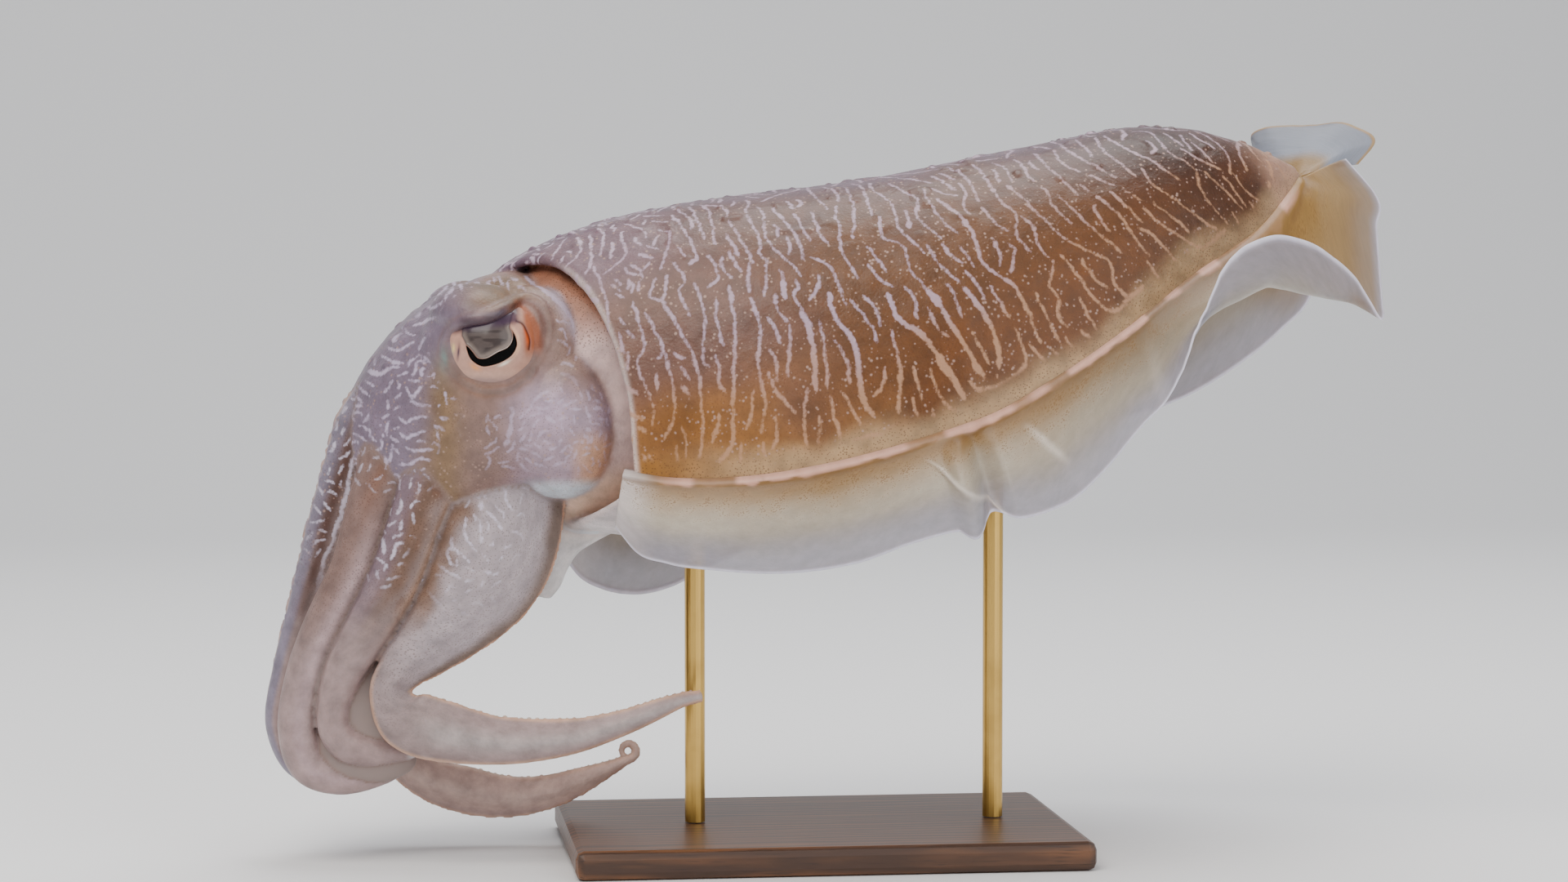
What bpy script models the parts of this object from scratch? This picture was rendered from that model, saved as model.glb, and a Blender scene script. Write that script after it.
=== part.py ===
"""A life-size cuttlefish, swimming with its arms hanging, held on a plain display stand.

The animal faces -X and its back faces +Z. Its left side faces -Y. The origin is the centre of
the stand's underside. Sizes and places are in millimetres, and MM turns them into metres.
"""

import math

import bmesh
import bpy
import numpy as np
from mathutils import Matrix, Vector

MM = 0.001
GAP = 0.3
LEFT = -1
RIGHT = 1
SIDES = {"left": LEFT, "right": RIGHT}

# Stand
BASE_LENGTH = 124.0
BASE_WIDTH = 84.0
BASE_HEIGHT = 7.0
BASE_EDGE = 2.0
ROD_RADIUS = 2.5
ROD_SUNK = 3.0
ROD_FRONT_X = -30.0
ROD_REAR_X = 44.0

# Mantle: its axis runs from the front opening up to the tail, and heights are above that axis
MANTLE_ORIGIN = (-55.0, 0.0, 96.0)
MANTLE_PITCH = math.radians(14.0)
MANTLE_END = 188.0
MANTLE_TOP = [(-14, 49.5), (0, 54), (20, 56), (45, 54.5), (80, 50.5), (120, 48.5), (150, 46.5), (165, 42),
              (174, 37), (180, 33), (185, 29), (187.2, 26.5), (188, 24)]
MANTLE_BELLY = [(-14, -12), (0, -18), (25, -26), (55, -30), (90, -26), (120, -16), (150, -3), (172, 9.5),
                (182, 17.5), (188, 24)]
MANTLE_HALF_WIDTH = [(-14, 33), (0, 38), (20, 44), (48, 49), (80, 49), (110, 44.5), (135, 36.5), (155, 27),
                     (170, 17.5), (178, 10.5), (184, 5.5), (187, 2.2), (188, 0)]
FIN_LINE = [(-14, 4), (4, -2.5), (12, -6), (28, -10), (48, -12), (87, -11), (109, -6), (133, 2), (150, 8.5),
            (160, 11.2), (171, 14.6), (178, 18), (184, 21.5), (188, 24)]
BACK_FULLNESS = 2.35
BELLY_FULLNESS = 2.1
# How far back the front margin lies, by the angle round the mantle from the middle of its back
FRONT_MARGIN = [(0, -13), (27, 1.4), (40, 6), (55, 9), (72, 9.6), (90, 6.5), (105, 3), (125, -3),
                (150, -9), (180, -12)]
MARGIN_FADE = 46.0
MANTLE_PLACES = (0, 5, 14, 28, 46, 70, 96, 118, 136, 150, 162, 171.5, 178.5, 183.5, 187)
MANTLE_SIDES = 28

# Neck, in the model frame: the upper and the lower point of each section, then its half width
NECK_SECTIONS = [(-36, 138, -36, 84, 32), (-52, 139, -50, 79.5, 34.5), (-62, 137.5, -59, 80, 33.5),
                 (-67.5, 131, -66, 88, 27)]

# Head, laid out like the neck
HEAD_SECTIONS = [(-63, 136, -60, 98, 17), (-66.5, 140.5, -60.5, 93, 27), (-73, 142.5, -63, 88.5, 32.5),
                 (-81, 141, -67, 87, 35), (-91, 137, -72, 85.5, 35), (-101.5, 129.5, -77, 83, 32),
                 (-109.5, 120, -81, 79, 28), (-114.5, 109.5, -86, 76, 23.5), (-116.5, 101, -94, 76, 17)]
CHEEK_CENTRE = (-66.5, 22.5, 106.5)
CHEEK_RADII = (13.5, 13.5, 17.0)
BROW_CENTRE = (-78.0, 22.5, 133.0)
BROW_RADII = (16.0, 12.5, 8.4)
ORBIT_CENTRE = (-80.5, 20.0, 123.5)
ORBIT_RADII = (17.0, 16.0, 15.5)
SWELLINGS = [(CHEEK_CENTRE, CHEEK_RADII), (BROW_CENTRE, BROW_RADII), (ORBIT_CENTRE, ORBIT_RADII)]
HEAD_RINGS = 10
HEAD_SIDES = 22
NECK_RINGS = 6
NECK_SIDES = 22
EYE_CENTRE = (-80.5, 26.0, 124.8)
EYE_RADIUS = 12.0
LID_RADIUS = 9.6
LID_THICKNESS = 1.9
LID_PLACE = 34.0
PUPIL_RADIUS = 5.4
PUPIL_WIDTH = 1.3
PUPIL_DROP = 0.4

# Funnel: path point, then its radius
FUNNEL_PATH = [(-50, 0, 88, 11), (-58, 0, 78, 9.5), (-64, 0, 70.5, 6.5), (-68.5, 0, 64.5, 4.2)]
FUNNEL_MOUTH = 2.4
FUNNEL_DEPTH = 9.0

# Fins: place of the root along the mantle, then the edge's place along, beside and above the mantle's
# axis, then how far the fin bows outwards and upwards half way
FIN_KEYS = {
    "left": [(4, -1, 43, -13, 1, 0), (8, 2, 46.5, -19.5, 2, 0), (14, 8, 50, -23.5, 3, 0),
             (24, 18, 53, -27.5, 3, 0), (36, 32, 55, -31.8, 3, 0), (52, 50, 57, -33.9, 3, 0),
             (66, 64, 58, -32.6, 3, 0), (76, 74.5, 60, -32.4, 4, 0), (80, 78, 62.5, -34.8, 8, 0),
             (84, 83, 56.5, -30.6, -1, 0), (90, 89.5, 60, -33.2, 3, 0),
             (100, 99.5, 60, -32.7, 4, 0), (111, 111, 57, -28, 4, 0),
             (122, 123.5, 54, -19.8, 3, -1), (129, 131, 52, -15.5, 3, -3), (136, 138.5, 52.5, -6, 4, -5),
             (142, 144.5, 52, 2.4, 6, -9), (149, 152, 50, 11.3, 8, -16), (155, 159.5, 48, 14.7, 8.5, -19),
             (160, 166.4, 45, 15, 8.4, -19), (165, 173, 41, 12.6, 8, -22), (170, 179.3, 37, 8.4, 7, -25),
             (175, 187, 31, -0.6, 5, -22), (179, 193.3, 25, -12.4, 4, -6), (182, 196.5, 18, -5, 3, -3),
             (184.5, 200.5, 11.5, 8.3, 2, 0), (186.5, 202.7, 7, 18, 1, 0), (187.2, 199, 3.6, 26.5, 0, 1)],
    "right": [(4, -11, 38, -23, 1, 0), (8, -8.5, 42, -30.5, 2, 0), (13, -3, 46, -36, 2, 0),
              (19, 5, 50, -39.8, 3, 0), (26, 14, 53, -40.6, 3, 0), (33, 24, 56, -39, 4, 0),
              (45, 42, 60, -36, 5, 0), (60, 60, 65, -33, 5, 0),
              (80, 82, 69, -30, 5, 0), (100, 103, 68, -28, 5, 0), (118, 123, 61, -27, 4, 0),
              (130, 139, 52, -27.5, 3, -1), (140, 153, 44, -26, 2, -2), (152, 167.5, 36, -21, 2, -2),
              (163, 182, 31, -13.5, 2, -2), (171, 191.5, 27, -5, 3, -3), (174.5, 198, 30, 5, 3, -4),
              (177, 198, 32, 17, 3, -4), (179.5, 192, 30, 29, 3, -2), (181.5, 184.5, 26, 36.8, 3, 2),
              (183, 188.5, 22.5, 38, 2, 3), (184.6, 197, 18, 36.2, 1, 3), (186, 207, 13, 33.4, 0, 3),
              (186.8, 210.5, 8.8, 27.8, 0, 3), (187.2, 204.3, 5.4, 24, 0, 2)],
}
FIN_FRONT = 4.0
FIN_END = 187.2
FIN_SUNK = 2.5
FIN_ROOT_HALF_THICKNESS = 1.0
FIN_EDGE_HALF_THICKNESS = 0.45
FIN_STATIONS = 44
FIN_STEPS = 4
FIN_NODES = [("front", 0.0, 0.28), ("middle", 0.28, 0.56), ("rear", 0.56, 1.0)]

# Arms: path point, half width along the arm's broad side, half depth from its back to its suckers
ARM_PATHS = {
    "1": [(-101, -6.6, 117, 6.5, 5.6), (-109.6, -7.2, 107, 7.2, 5.6), (-114, -7, 95, 7, 5.2),
          (-118.2, -6.4, 82, 6.3, 4.7), (-123.8, -5.6, 62, 5.3, 4.2), (-128.5, -4.8, 46, 4.4, 3.7),
          (-130.8, -4.4, 33, 3.6, 3.2),
          (-126.5, -4.2, 23, 2.9, 2.7), (-117, -4.2, 20.4, 2.2, 2), (-107.5, -4.2, 22, 0.8, 0.8)],
    "2": [(-94, -14, 112, 6.5, 6), (-101, -15.5, 105, 7.4, 6.2), (-106.5, -15.5, 90, 7, 5.8),
          (-112.5, -14.5, 71, 6, 5.3), (-120.5, -13, 57, 5.1, 4.8), (-125, -12, 46, 4.5, 4.2),
          (-127.2, -11.3, 33, 4.1, 3.4), (-124.5, -10.7, 23.7, 3.9, 3.2), (-116.5, -10.3, 20.5, 3.4, 2.8),
          (-106, -10, 21.6, 2.4, 2), (-99, -9.6, 23.8, 0.9, 0.9)],
    "3": [(-86, -17, 108, 7.5, 5.5), (-90.5, -20, 102, 8.4, 5.5), (-96, -20.5, 87, 7.6, 5.2),
          (-101.6, -19.5, 71, 6.8, 4.8), (-110, -18, 57.5, 5.8, 4.2), (-116.8, -16.4, 46, 4.4, 3.8),
          (-119, -15.2, 35, 3.6, 3.2), (-116.5, -14.4, 27.8, 3.3, 3), (-108.5, -14, 25.2, 2.8, 2.5),
          (-100, -13.6, 25.6, 1.7, 1.5), (-93.8, -13.4, 27.8, 0.8, 0.8)],
    "4": [(-77, -17, 104, 9, 5.5), (-80.5, -20, 93, 14.5, 5.5), (-82.5, -21, 81.5, 17.5, 5),
          (-84.7, -20.5, 68.6, 15.5, 4.8), (-92, -19.5, 56, 11.5, 4.4), (-98.5, -18.8, 49.5, 8, 4.2),
          (-103, -18.4, 44, 5.4, 4), (-104, -18.6, 38.6, 4.5, 3.8), (-100, -19.6, 33.6, 5.4, 3.6),
          (-90.7, -21, 30.6, 6.7, 3.4), (-78.7, -21.8, 27.8, 6, 3), (-66, -22, 27.4, 5.2, 2.7),
          (-57.5, -22, 29, 4.3, 2.4), (-45.8, -22, 32.9, 2.8, 1.9), (-36, -22, 37.7, 1.8, 1.5),
          (-32, -22, 40.4, 1.4, 1.3)],
    "right_4": [(-77, 17, 104, 9, 5.5), (-80.5, 20, 93, 14.5, 5.5), (-83, 21, 81.5, 17, 5),
                (-87, 21, 68, 14.5, 4.6), (-96, 20.5, 54, 9.5, 4.2), (-102.5, 20, 41, 5.4, 3.8),
                (-104.5, 20, 29, 4.4, 3.6), (-100.5, 19.4, 19.5, 4.8, 3.4), (-91, 18.4, 14.8, 5.6, 3.3),
                (-80, 17, 14, 5.9, 3.2), (-69, 15.6, 14, 5.1, 2.8), (-58.5, 14, 15.5, 4, 2.3),
                (-49, 12.8, 18.2, 2.9, 1.8), (-44.5, 12.2, 19.8, 2.2, 1.5)],
}
ARM_ORAL = {"1": (0.8, 0.6, 0.0), "2": (0.3, 0.95, 0.0), "3": (-0.2, 0.98, 0.0), "4": (0.0, 1.0, 0.0)}
ARM_STATIONS = 24
ARM_SIDES = 10
ORAL_FLATNESS = 0.62
KEEL_THINNING = 0.72
ARM_CUTS = {"1": (0.46, 0.76), "2": (0.46, 0.74), "3": (0.46, 0.72), "4": (0.385, 0.73)}
ARM_LENGTHS = ("upper", "lower", "tip")
# Turn of the right fourth arm about itself, in degrees, by the share of its length
RIGHT_FOURTH_TWIST = [(0, 0), (0.26, 0), (0.5, 180), (1, 180)]

# Suckers, in two staggered rows on the arm's inner face
SUCKER_COUNT = {"1": 14, "2": 15, "3": 14, "4": 17}
SUCKER_SPAN = {"1": (0.2, 0.96), "2": (0.2, 0.96), "3": (0.2, 0.96), "4": (0.16, 0.97)}
SUCKER_SHARE = 0.27
SUCKER_LARGEST = 1.55
SUCKER_SMALLEST = 0.42
SUCKER_ROW = 0.4
# Lean of both rows towards the arm's upper edge, in half widths, by the share of the arm's length
SUCKER_LEAN = {"1": [(0, 0), (1, 0)], "2": [(0, 0), (1, 0)], "3": [(0, 0), (1, 0)],
               "4": [(0, 0), (0.36, 0), (0.56, 0.72), (1, 0.6)]}
SUCKER_SIDES = 6
SUCKER_HEIGHT = 0.75
SUCKER_CUP = 0.5
SUCKER_ROOT = 0.6
# Share of the arm's length that stays clear of suckers at each cut
SUCKER_MARGIN = 0.012
SUCKER_VARIATION = 0.1
SUCKER_SEED = 5
CURL_RADIUS = 3.4
CURL_TURN = math.radians(250.0)
CURL_STEPS = 7
CURL_TIGHTENING = 0.35
CURL_TAPER = 0.45

# Colours as linear values, with roughness
BACK_BROWN = (0.30, 0.16, 0.075)
HEAD_MAUVE = (0.42, 0.30, 0.27)
ARM_PINK = (0.47, 0.37, 0.33)
FIN_WHITE = (0.60, 0.57, 0.50)
NECK_PINK = (0.52, 0.36, 0.27)
EYE_PINK = (0.55, 0.38, 0.30)
WALNUT = (0.09, 0.045, 0.022)
BRASS = (0.72, 0.50, 0.20)


def start_collection(name):
    """An empty scene with one collection for the model."""
    for thing in list(bpy.data.objects):
        bpy.data.objects.remove(thing)
    collection = bpy.data.collections.new(name)
    bpy.context.scene.collection.children.link(collection)
    return collection


MODEL = start_collection("cuttlefish")


def material(name, colour, roughness, metallic=0.0):
    made = bpy.data.materials.new(name)
    made.use_nodes = True
    shader = made.node_tree.nodes["Principled BSDF"]
    shader.inputs["Base Color"].default_value = (*colour, 1.0)
    shader.inputs["Roughness"].default_value = roughness
    shader.inputs["Metallic"].default_value = metallic
    return made


def smooth(keys, place):
    """The value at a place, or at each of several, on a smooth curve through the keys (place, value, ...)."""
    table = np.array(keys, float)
    x, y = table[:, 0], table[:, 1:]
    slope = np.gradient(y, x, axis=0)
    chord = np.diff(y, axis=0) / np.diff(x)[:, None]
    limit = 3 * np.minimum(np.abs(np.vstack([chord[:1], chord])), np.abs(np.vstack([chord, chord[-1:]])))
    slope = np.clip(slope, -limit, limit)
    at = np.clip(np.atleast_1d(np.asarray(place, float)), x[0], x[-1])
    i = np.clip(np.searchsorted(x, at) - 1, 0, len(x) - 2)
    step = (x[i + 1] - x[i])[:, None]
    t = (at - x[i])[:, None] / step
    value = (y[i] * (1 + 2 * t) * (1 - t) ** 2 + y[i + 1] * t**2 * (3 - 2 * t)
             + step * (slope[i] * t * (1 - t) ** 2 - slope[i + 1] * t**2 * (1 - t)))
    if np.ndim(place) == 0:
        return value[0] if value.shape[1] > 1 else float(value[0, 0])
    return value if value.shape[1] > 1 else value[:, 0]


def spline(points, count):
    """Points spread evenly along a smooth curve through the given ones; further columns are carried along."""
    rows = np.array(points, float)
    chord = np.sqrt(np.linalg.norm(np.diff(rows[:, :3], axis=0), axis=1))
    knots = np.concatenate([[0], np.cumsum(chord)])
    slope = np.gradient(rows, knots, axis=0)
    fine = np.linspace(0, knots[-1], 400)
    i = np.clip(np.searchsorted(knots, fine) - 1, 0, len(knots) - 2)
    step = (knots[i + 1] - knots[i])[:, None]
    t = (fine - knots[i])[:, None] / step
    curve = (rows[i] * (1 + 2 * t) * (1 - t) ** 2 + rows[i + 1] * t**2 * (3 - 2 * t)
             + step * (slope[i] * t * (1 - t) ** 2 - slope[i + 1] * t**2 * (1 - t)))
    run = np.concatenate([[0], np.cumsum(np.linalg.norm(np.diff(curve[:, :3], axis=0), axis=1))])
    even = np.linspace(0, run[-1], count)
    return np.stack([np.interp(even, run, curve[:, k]) for k in range(curve.shape[1])], axis=1)


def new_object(name, points, faces, finish=None):
    """A mesh object from points in millimetres."""
    mesh = bpy.data.meshes.new(name)
    mesh.from_pydata([tuple(p) for p in np.asarray(points, float) * MM], [], faces)
    work = bmesh.new()
    work.from_mesh(mesh)
    bmesh.ops.recalc_face_normals(work, faces=work.faces)
    work.to_mesh(mesh)
    work.free()
    made = bpy.data.objects.new(name, mesh)
    if finish:
        mesh.materials.append(finish)
    MODEL.objects.link(made)
    return made


def loft(name, rings, finish=None):
    """A closed skin over rings of points, all split the same way, with a point in the middle of each end."""
    rings = np.asarray(rings, float)
    count, sides = rings.shape[:2]
    points = [*rings.reshape(-1, 3), rings[0].mean(0), rings[-1].mean(0)]
    first, last = count * sides, count * sides + 1
    faces = []
    for i in range(count - 1):
        for j in range(sides):
            a, b = i * sides + j, i * sides + (j + 1) % sides
            c, d = a + sides, b + sides
            faces += [(a, b, d), (a, d, c)]
    for j in range(sides):
        k = (j + 1) % sides
        faces.append((first, k, j))
        faces.append((last, (count - 1) * sides + j, (count - 1) * sides + k))
    return new_object(name, points, faces, finish)


def ellipsoid(name, centre, radii, segments=12, rings=7):
    bpy.ops.mesh.primitive_uv_sphere_add(segments=segments, ring_count=rings, radius=MM)
    return adopt(name, Matrix.Translation(Vector(centre) * MM) @ Matrix.Diagonal((*radii, 1.0)))


def adopt(name, placement, finish=None):
    """Names the primitive just made, moves its mesh into place and puts it in the model."""
    made = bpy.context.active_object
    made.name = name
    made.data.transform(placement)
    if finish:
        made.data.materials.append(finish)
    for holder in list(made.users_collection):
        holder.objects.unlink(made)
    MODEL.objects.link(made)
    return made


def apply_boolean(target, others, operation, solver="EXACT"):
    """Joins the target with the other objects, or cuts it by them, and removes them."""
    group = bpy.data.collections.new("others")
    bpy.context.scene.collection.children.link(group)
    for other in others:
        MODEL.objects.unlink(other)
        group.objects.link(other)
    change = target.modifiers.new("change", "BOOLEAN")
    change.operation = operation
    change.operand_type = "COLLECTION"
    change.collection = group
    change.solver = solver
    view = bpy.context.evaluated_depsgraph_get()
    result = bpy.data.meshes.new_from_object(target.evaluated_get(view))
    target.modifiers.clear()
    old = target.data
    target.data = result
    bpy.data.meshes.remove(old)
    for other in others:
        bpy.data.objects.remove(other)
    bpy.data.collections.remove(group)
    return keep_largest(target)


def keep_largest(target):
    """Leaves only the largest closed surface of a mesh, as triangles."""
    work = bmesh.new()
    work.from_mesh(target.data)
    bmesh.ops.remove_doubles(work, verts=work.verts, dist=1e-6)
    bmesh.ops.triangulate(work, faces=work.faces)
    seen, best = set(), []
    for start in work.faces:
        if start in seen:
            continue
        piece, waiting = [], [start]
        seen.add(start)
        while waiting:
            face = waiting.pop()
            piece.append(face)
            for edge in face.edges:
                for near in edge.link_faces:
                    if near not in seen:
                        seen.add(near)
                        waiting.append(near)
        if sum(f.calc_area() for f in piece) > sum(f.calc_area() for f in best):
            best = piece
    chosen = set(best)
    bmesh.ops.delete(work, geom=[f for f in work.faces if f not in chosen], context="FACES")
    loose = [v for v in work.verts if not v.link_faces]
    bmesh.ops.delete(work, geom=loose, context="VERTS")
    work.to_mesh(target.data)
    work.free()
    return target


# Mantle

AXIS = np.array([math.cos(MANTLE_PITCH), 0.0, math.sin(MANTLE_PITCH)])
SIDEWAYS = np.array([0.0, 1.0, 0.0])
UPWARD = np.array([-math.sin(MANTLE_PITCH), 0.0, math.cos(MANTLE_PITCH)])


def on_mantle_axes(along, side, height):
    """Model-frame points from places along, beside and above the mantle's axis."""
    along, side, height = np.broadcast_arrays(along, side, height)
    return (np.array(MANTLE_ORIGIN) + along[..., None] * AXIS + side[..., None] * SIDEWAYS
            + height[..., None] * UPWARD)


def mantle_ring(along, grow=0.0):
    """One ring of the mantle, starting at the middle of the back and running round the right side."""
    turn = np.linspace(0, 2 * math.pi, MANTLE_SIDES, endpoint=False)
    margin = smooth(FRONT_MARGIN, np.degrees(np.minimum(turn, 2 * math.pi - turn)))
    place = along + margin * max(0.0, 1 - along / MARGIN_FADE)
    half_width = smooth(MANTLE_HALF_WIDTH, place) + grow
    line = smooth(FIN_LINE, place)
    top = smooth(MANTLE_TOP, place) + grow
    belly = smooth(MANTLE_BELLY, place) - grow
    across, upright = np.sin(turn), np.cos(turn)
    fullness = np.where(upright > 0, BACK_FULLNESS, BELLY_FULLNESS)
    side = half_width * np.sign(across) * np.abs(across) ** (2 / fullness)
    rise = np.abs(upright) ** (2 / fullness)
    height = line + np.where(upright > 0, (top - line) * rise, (belly - line) * rise)
    return on_mantle_axes(place, side, height)


def mantle_loft(name, grow=0.0, finish=None):
    return loft(name, [mantle_ring(place, grow) for place in MANTLE_PLACES], finish)


# Neck and head

def cross_rings(sections, sides, count, grow=0.0, fullness=2.2):
    """Rings through sections given by their upper point, lower point and half width."""
    table = np.array(sections, float)
    keys = np.column_stack([np.arange(len(table)), table])
    turn = np.linspace(0, 2 * math.pi, sides, endpoint=False)
    rings = []
    for x in np.linspace(0, len(table) - 1, count):
        top_x, top_z, low_x, low_z, half_width = smooth(keys, x)
        top = np.array([top_x, 0, top_z])
        low = np.array([low_x, 0, low_z])
        middle, rise = (top + low) / 2, (top - low) / 2
        rise = rise * (1 + grow / np.linalg.norm(rise))
        across, upright = np.sin(turn), np.cos(turn)
        side = (half_width + grow) * np.sign(across) * np.abs(across) ** (2 / fullness)
        lift = np.sign(upright) * np.abs(upright) ** (2 / fullness)
        rings.append(middle + lift[:, None] * rise + side[:, None] * SIDEWAYS)
    return np.array(rings)


def mirrored(place, side):
    return (place[0], side * place[1], place[2])


def neck_loft(name, grow=0.0, finish=None):
    return loft(name, cross_rings(NECK_SECTIONS, NECK_SIDES, NECK_RINGS, grow), finish)


def head_pieces(grow=0.0):
    """The head's rounded body and the swellings that are joined to it."""
    pieces = [loft("head_body", cross_rings(HEAD_SECTIONS, HEAD_SIDES, HEAD_RINGS, grow))]
    for side in SIDES.values():
        for centre, radii in SWELLINGS:
            pieces.append(ellipsoid("swelling", mirrored(centre, side), [r + grow for r in radii]))
    return pieces


def lid_ring(side):
    """The raised skin round an eye."""
    bpy.ops.mesh.primitive_torus_add(major_segments=20, minor_segments=6, major_radius=LID_RADIUS * MM,
                                     minor_radius=LID_THICKNESS * MM)
    place = mirrored((EYE_CENTRE[0], LID_PLACE, EYE_CENTRE[2]), side)
    return adopt("lid", Matrix.Translation(Vector(place) * MM) @ Matrix.Rotation(math.pi / 2, 4, "X"))


def eyeball(name, side, grow=0.0):
    radius = EYE_RADIUS + grow
    return ellipsoid(name, mirrored(EYE_CENTRE, side), (radius, radius, radius), 16, 10)


def pupil_groove(side):
    """A bent tube along the pupil: it dips in the middle and turns up at both ends."""
    points = []
    for t in np.linspace(-1, 1, 7):
        x = PUPIL_RADIUS * 1.15 * t
        z = -PUPIL_RADIUS * math.cos(t * math.pi / 2) - PUPIL_DROP + 1.0
        y = math.sqrt(EYE_RADIUS**2 - x * x - z * z)
        points.append((EYE_CENTRE[0] + x, side * (EYE_CENTRE[1] + y), EYE_CENTRE[2] + z))
    path = np.array(points)
    rings = tube_rings(path, np.full(len(path), PUPIL_WIDTH), 6)
    return loft("pupil_cut", rings)


def make_head(finish):
    pieces = head_pieces()
    head = pieces[0]
    head.name = "head"
    head.data.materials.append(finish)
    apply_boolean(head, pieces[1:] + [lid_ring(side) for side in SIDES.values()], "UNION")
    cutters = [eyeball("eye_cut", side, GAP) for side in SIDES.values()]
    cutters.append(neck_loft("neck_cut", GAP))
    apply_boolean(head, cutters, "DIFFERENCE")
    return head


def make_eyes(finish):
    for name, side in SIDES.items():
        eye = eyeball("eye_" + name, side)
        eye.data.materials.append(finish)
        apply_boolean(eye, [pupil_groove(side)], "DIFFERENCE")


# Tubes: the funnel and the arms

def path_frames(path, oral):
    """Along, towards the suckers and across, for each point of a path."""
    along = np.gradient(path, axis=0)
    along /= np.linalg.norm(along, axis=1)[:, None]
    inward = oral - (along @ oral)[:, None] * along
    inward /= np.linalg.norm(inward, axis=1)[:, None]
    return along, inward, np.cross(along, inward)


def tube_rings(path, radii, sides, oral=(0.0, 1.0, 0.0)):
    """Round rings along a path."""
    _, inward, across = path_frames(path, np.array(oral, float))
    turn = np.linspace(0, 2 * math.pi, sides, endpoint=False)
    return (path[:, None] + radii[:, None, None] * (np.cos(turn)[None, :, None] * across[:, None]
                                                    + np.sin(turn)[None, :, None] * inward[:, None]))


def funnel_rings(grow=0.0):
    rows = spline(FUNNEL_PATH, 7)
    return tube_rings(rows[:, :3], rows[:, 3] + grow, 14)


def make_funnel(finish):
    funnel = loft("funnel", funnel_rings(), finish)
    rows = spline(FUNNEL_PATH, 8)
    mouth = rows[-1, :3]
    inward = rows[-2, :3] - mouth
    inward /= np.linalg.norm(inward)
    bore = np.array([mouth - inward * 2, mouth + inward * 2, mouth + inward * FUNNEL_DEPTH])
    bore_cut = loft("bore", tube_rings(bore, np.array([1.15, 1.0, 0.6]) * FUNNEL_MOUTH, 8))
    apply_boolean(funnel, [bore_cut, *head_pieces(GAP), neck_loft("neck_cut", GAP)], "DIFFERENCE")
    return funnel


def arm_rows(number, side):
    """Path, half width and half depth of one arm, with the curl at the end of the right fourth arm."""
    own = ARM_PATHS.get(f"{'right' if side == RIGHT else 'left'}_{number}")
    rows = np.array(own or ARM_PATHS[number], float)
    if own is None and side == RIGHT:
        rows[:, 1] *= -1
    if own is not None:
        rows = np.vstack([rows, curl(rows[-1])])
    return spline(rows, ARM_STATIONS)


def curl(start):
    """The rolled tip, as further rows of the arm's path."""
    rows = []
    for i in range(1, CURL_STEPS + 1):
        share = i / CURL_STEPS
        turn = CURL_TURN * share
        radius = CURL_RADIUS * (1 - CURL_TIGHTENING * share)
        x = start[0] + radius * math.sin(turn)
        z = start[2] + CURL_RADIUS - radius * math.cos(turn)
        taper = 1 - CURL_TAPER * share
        rows.append((x, start[1], z, start[3] * taper, start[4] * taper))
    return rows


def arm_frames(number, side, rows):
    """Along, towards the suckers and across the broad side, for each row of an arm."""
    oral = np.array(ARM_ORAL[number], float) * (1, -side, 1)
    along, inward, across = path_frames(rows[:, :3], oral)
    across = across * -side
    if number == "4" and side == RIGHT:
        turn = np.radians(smooth(RIGHT_FOURTH_TWIST, np.linspace(0, 1, len(rows))))[:, None]
        inward, across = (inward * np.cos(turn) + across * np.sin(turn),
                          across * np.cos(turn) - inward * np.sin(turn))
    return along, inward, across


def arm_rings(number, side, grow=0.0, sides=ARM_SIDES):
    """Rings of an arm: flat towards the suckers, round outside, and thin at the fourth arm's keel."""
    rows = arm_rows(number, side)
    _, inward, across = arm_frames(number, side, rows)
    turn = np.linspace(0, 2 * math.pi, sides, endpoint=False)
    keel = KEEL_THINNING if number == "4" else 0.0
    depth = np.sin(turn) * np.where(np.sin(turn) > 0, ORAL_FLATNESS, 1.0)
    depth = depth * (1 - keel * np.maximum(0, np.cos(turn)))
    wide, deep = rows[:, 3] + grow, rows[:, 4] + grow
    return (rows[:, None, :3] + (wide[:, None] * np.cos(turn))[..., None] * across[:, None]
            + (deep[:, None] * depth)[..., None] * inward[:, None])


def sucker(centre, normal, radius, sunk):
    """A short cup standing on the arm, with its root sunk into it."""
    depth = SUCKER_HEIGHT * radius + sunk
    bpy.ops.mesh.primitive_cylinder_add(vertices=SUCKER_SIDES, radius=radius * MM, depth=depth * MM,
                                        end_fill_type="TRIFAN")
    top = max(bpy.context.active_object.data.vertices, key=lambda v: v.co.z - 100 * v.co.xy.length)
    top.co.z -= SUCKER_CUP * radius * MM
    upright = Vector(normal)
    middle = Vector(centre) + upright * (depth / 2 - sunk)
    turned = upright.to_track_quat("Z", "Y").to_matrix().to_4x4()
    return adopt("sucker", Matrix.Translation(middle * MM) @ turned)


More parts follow.
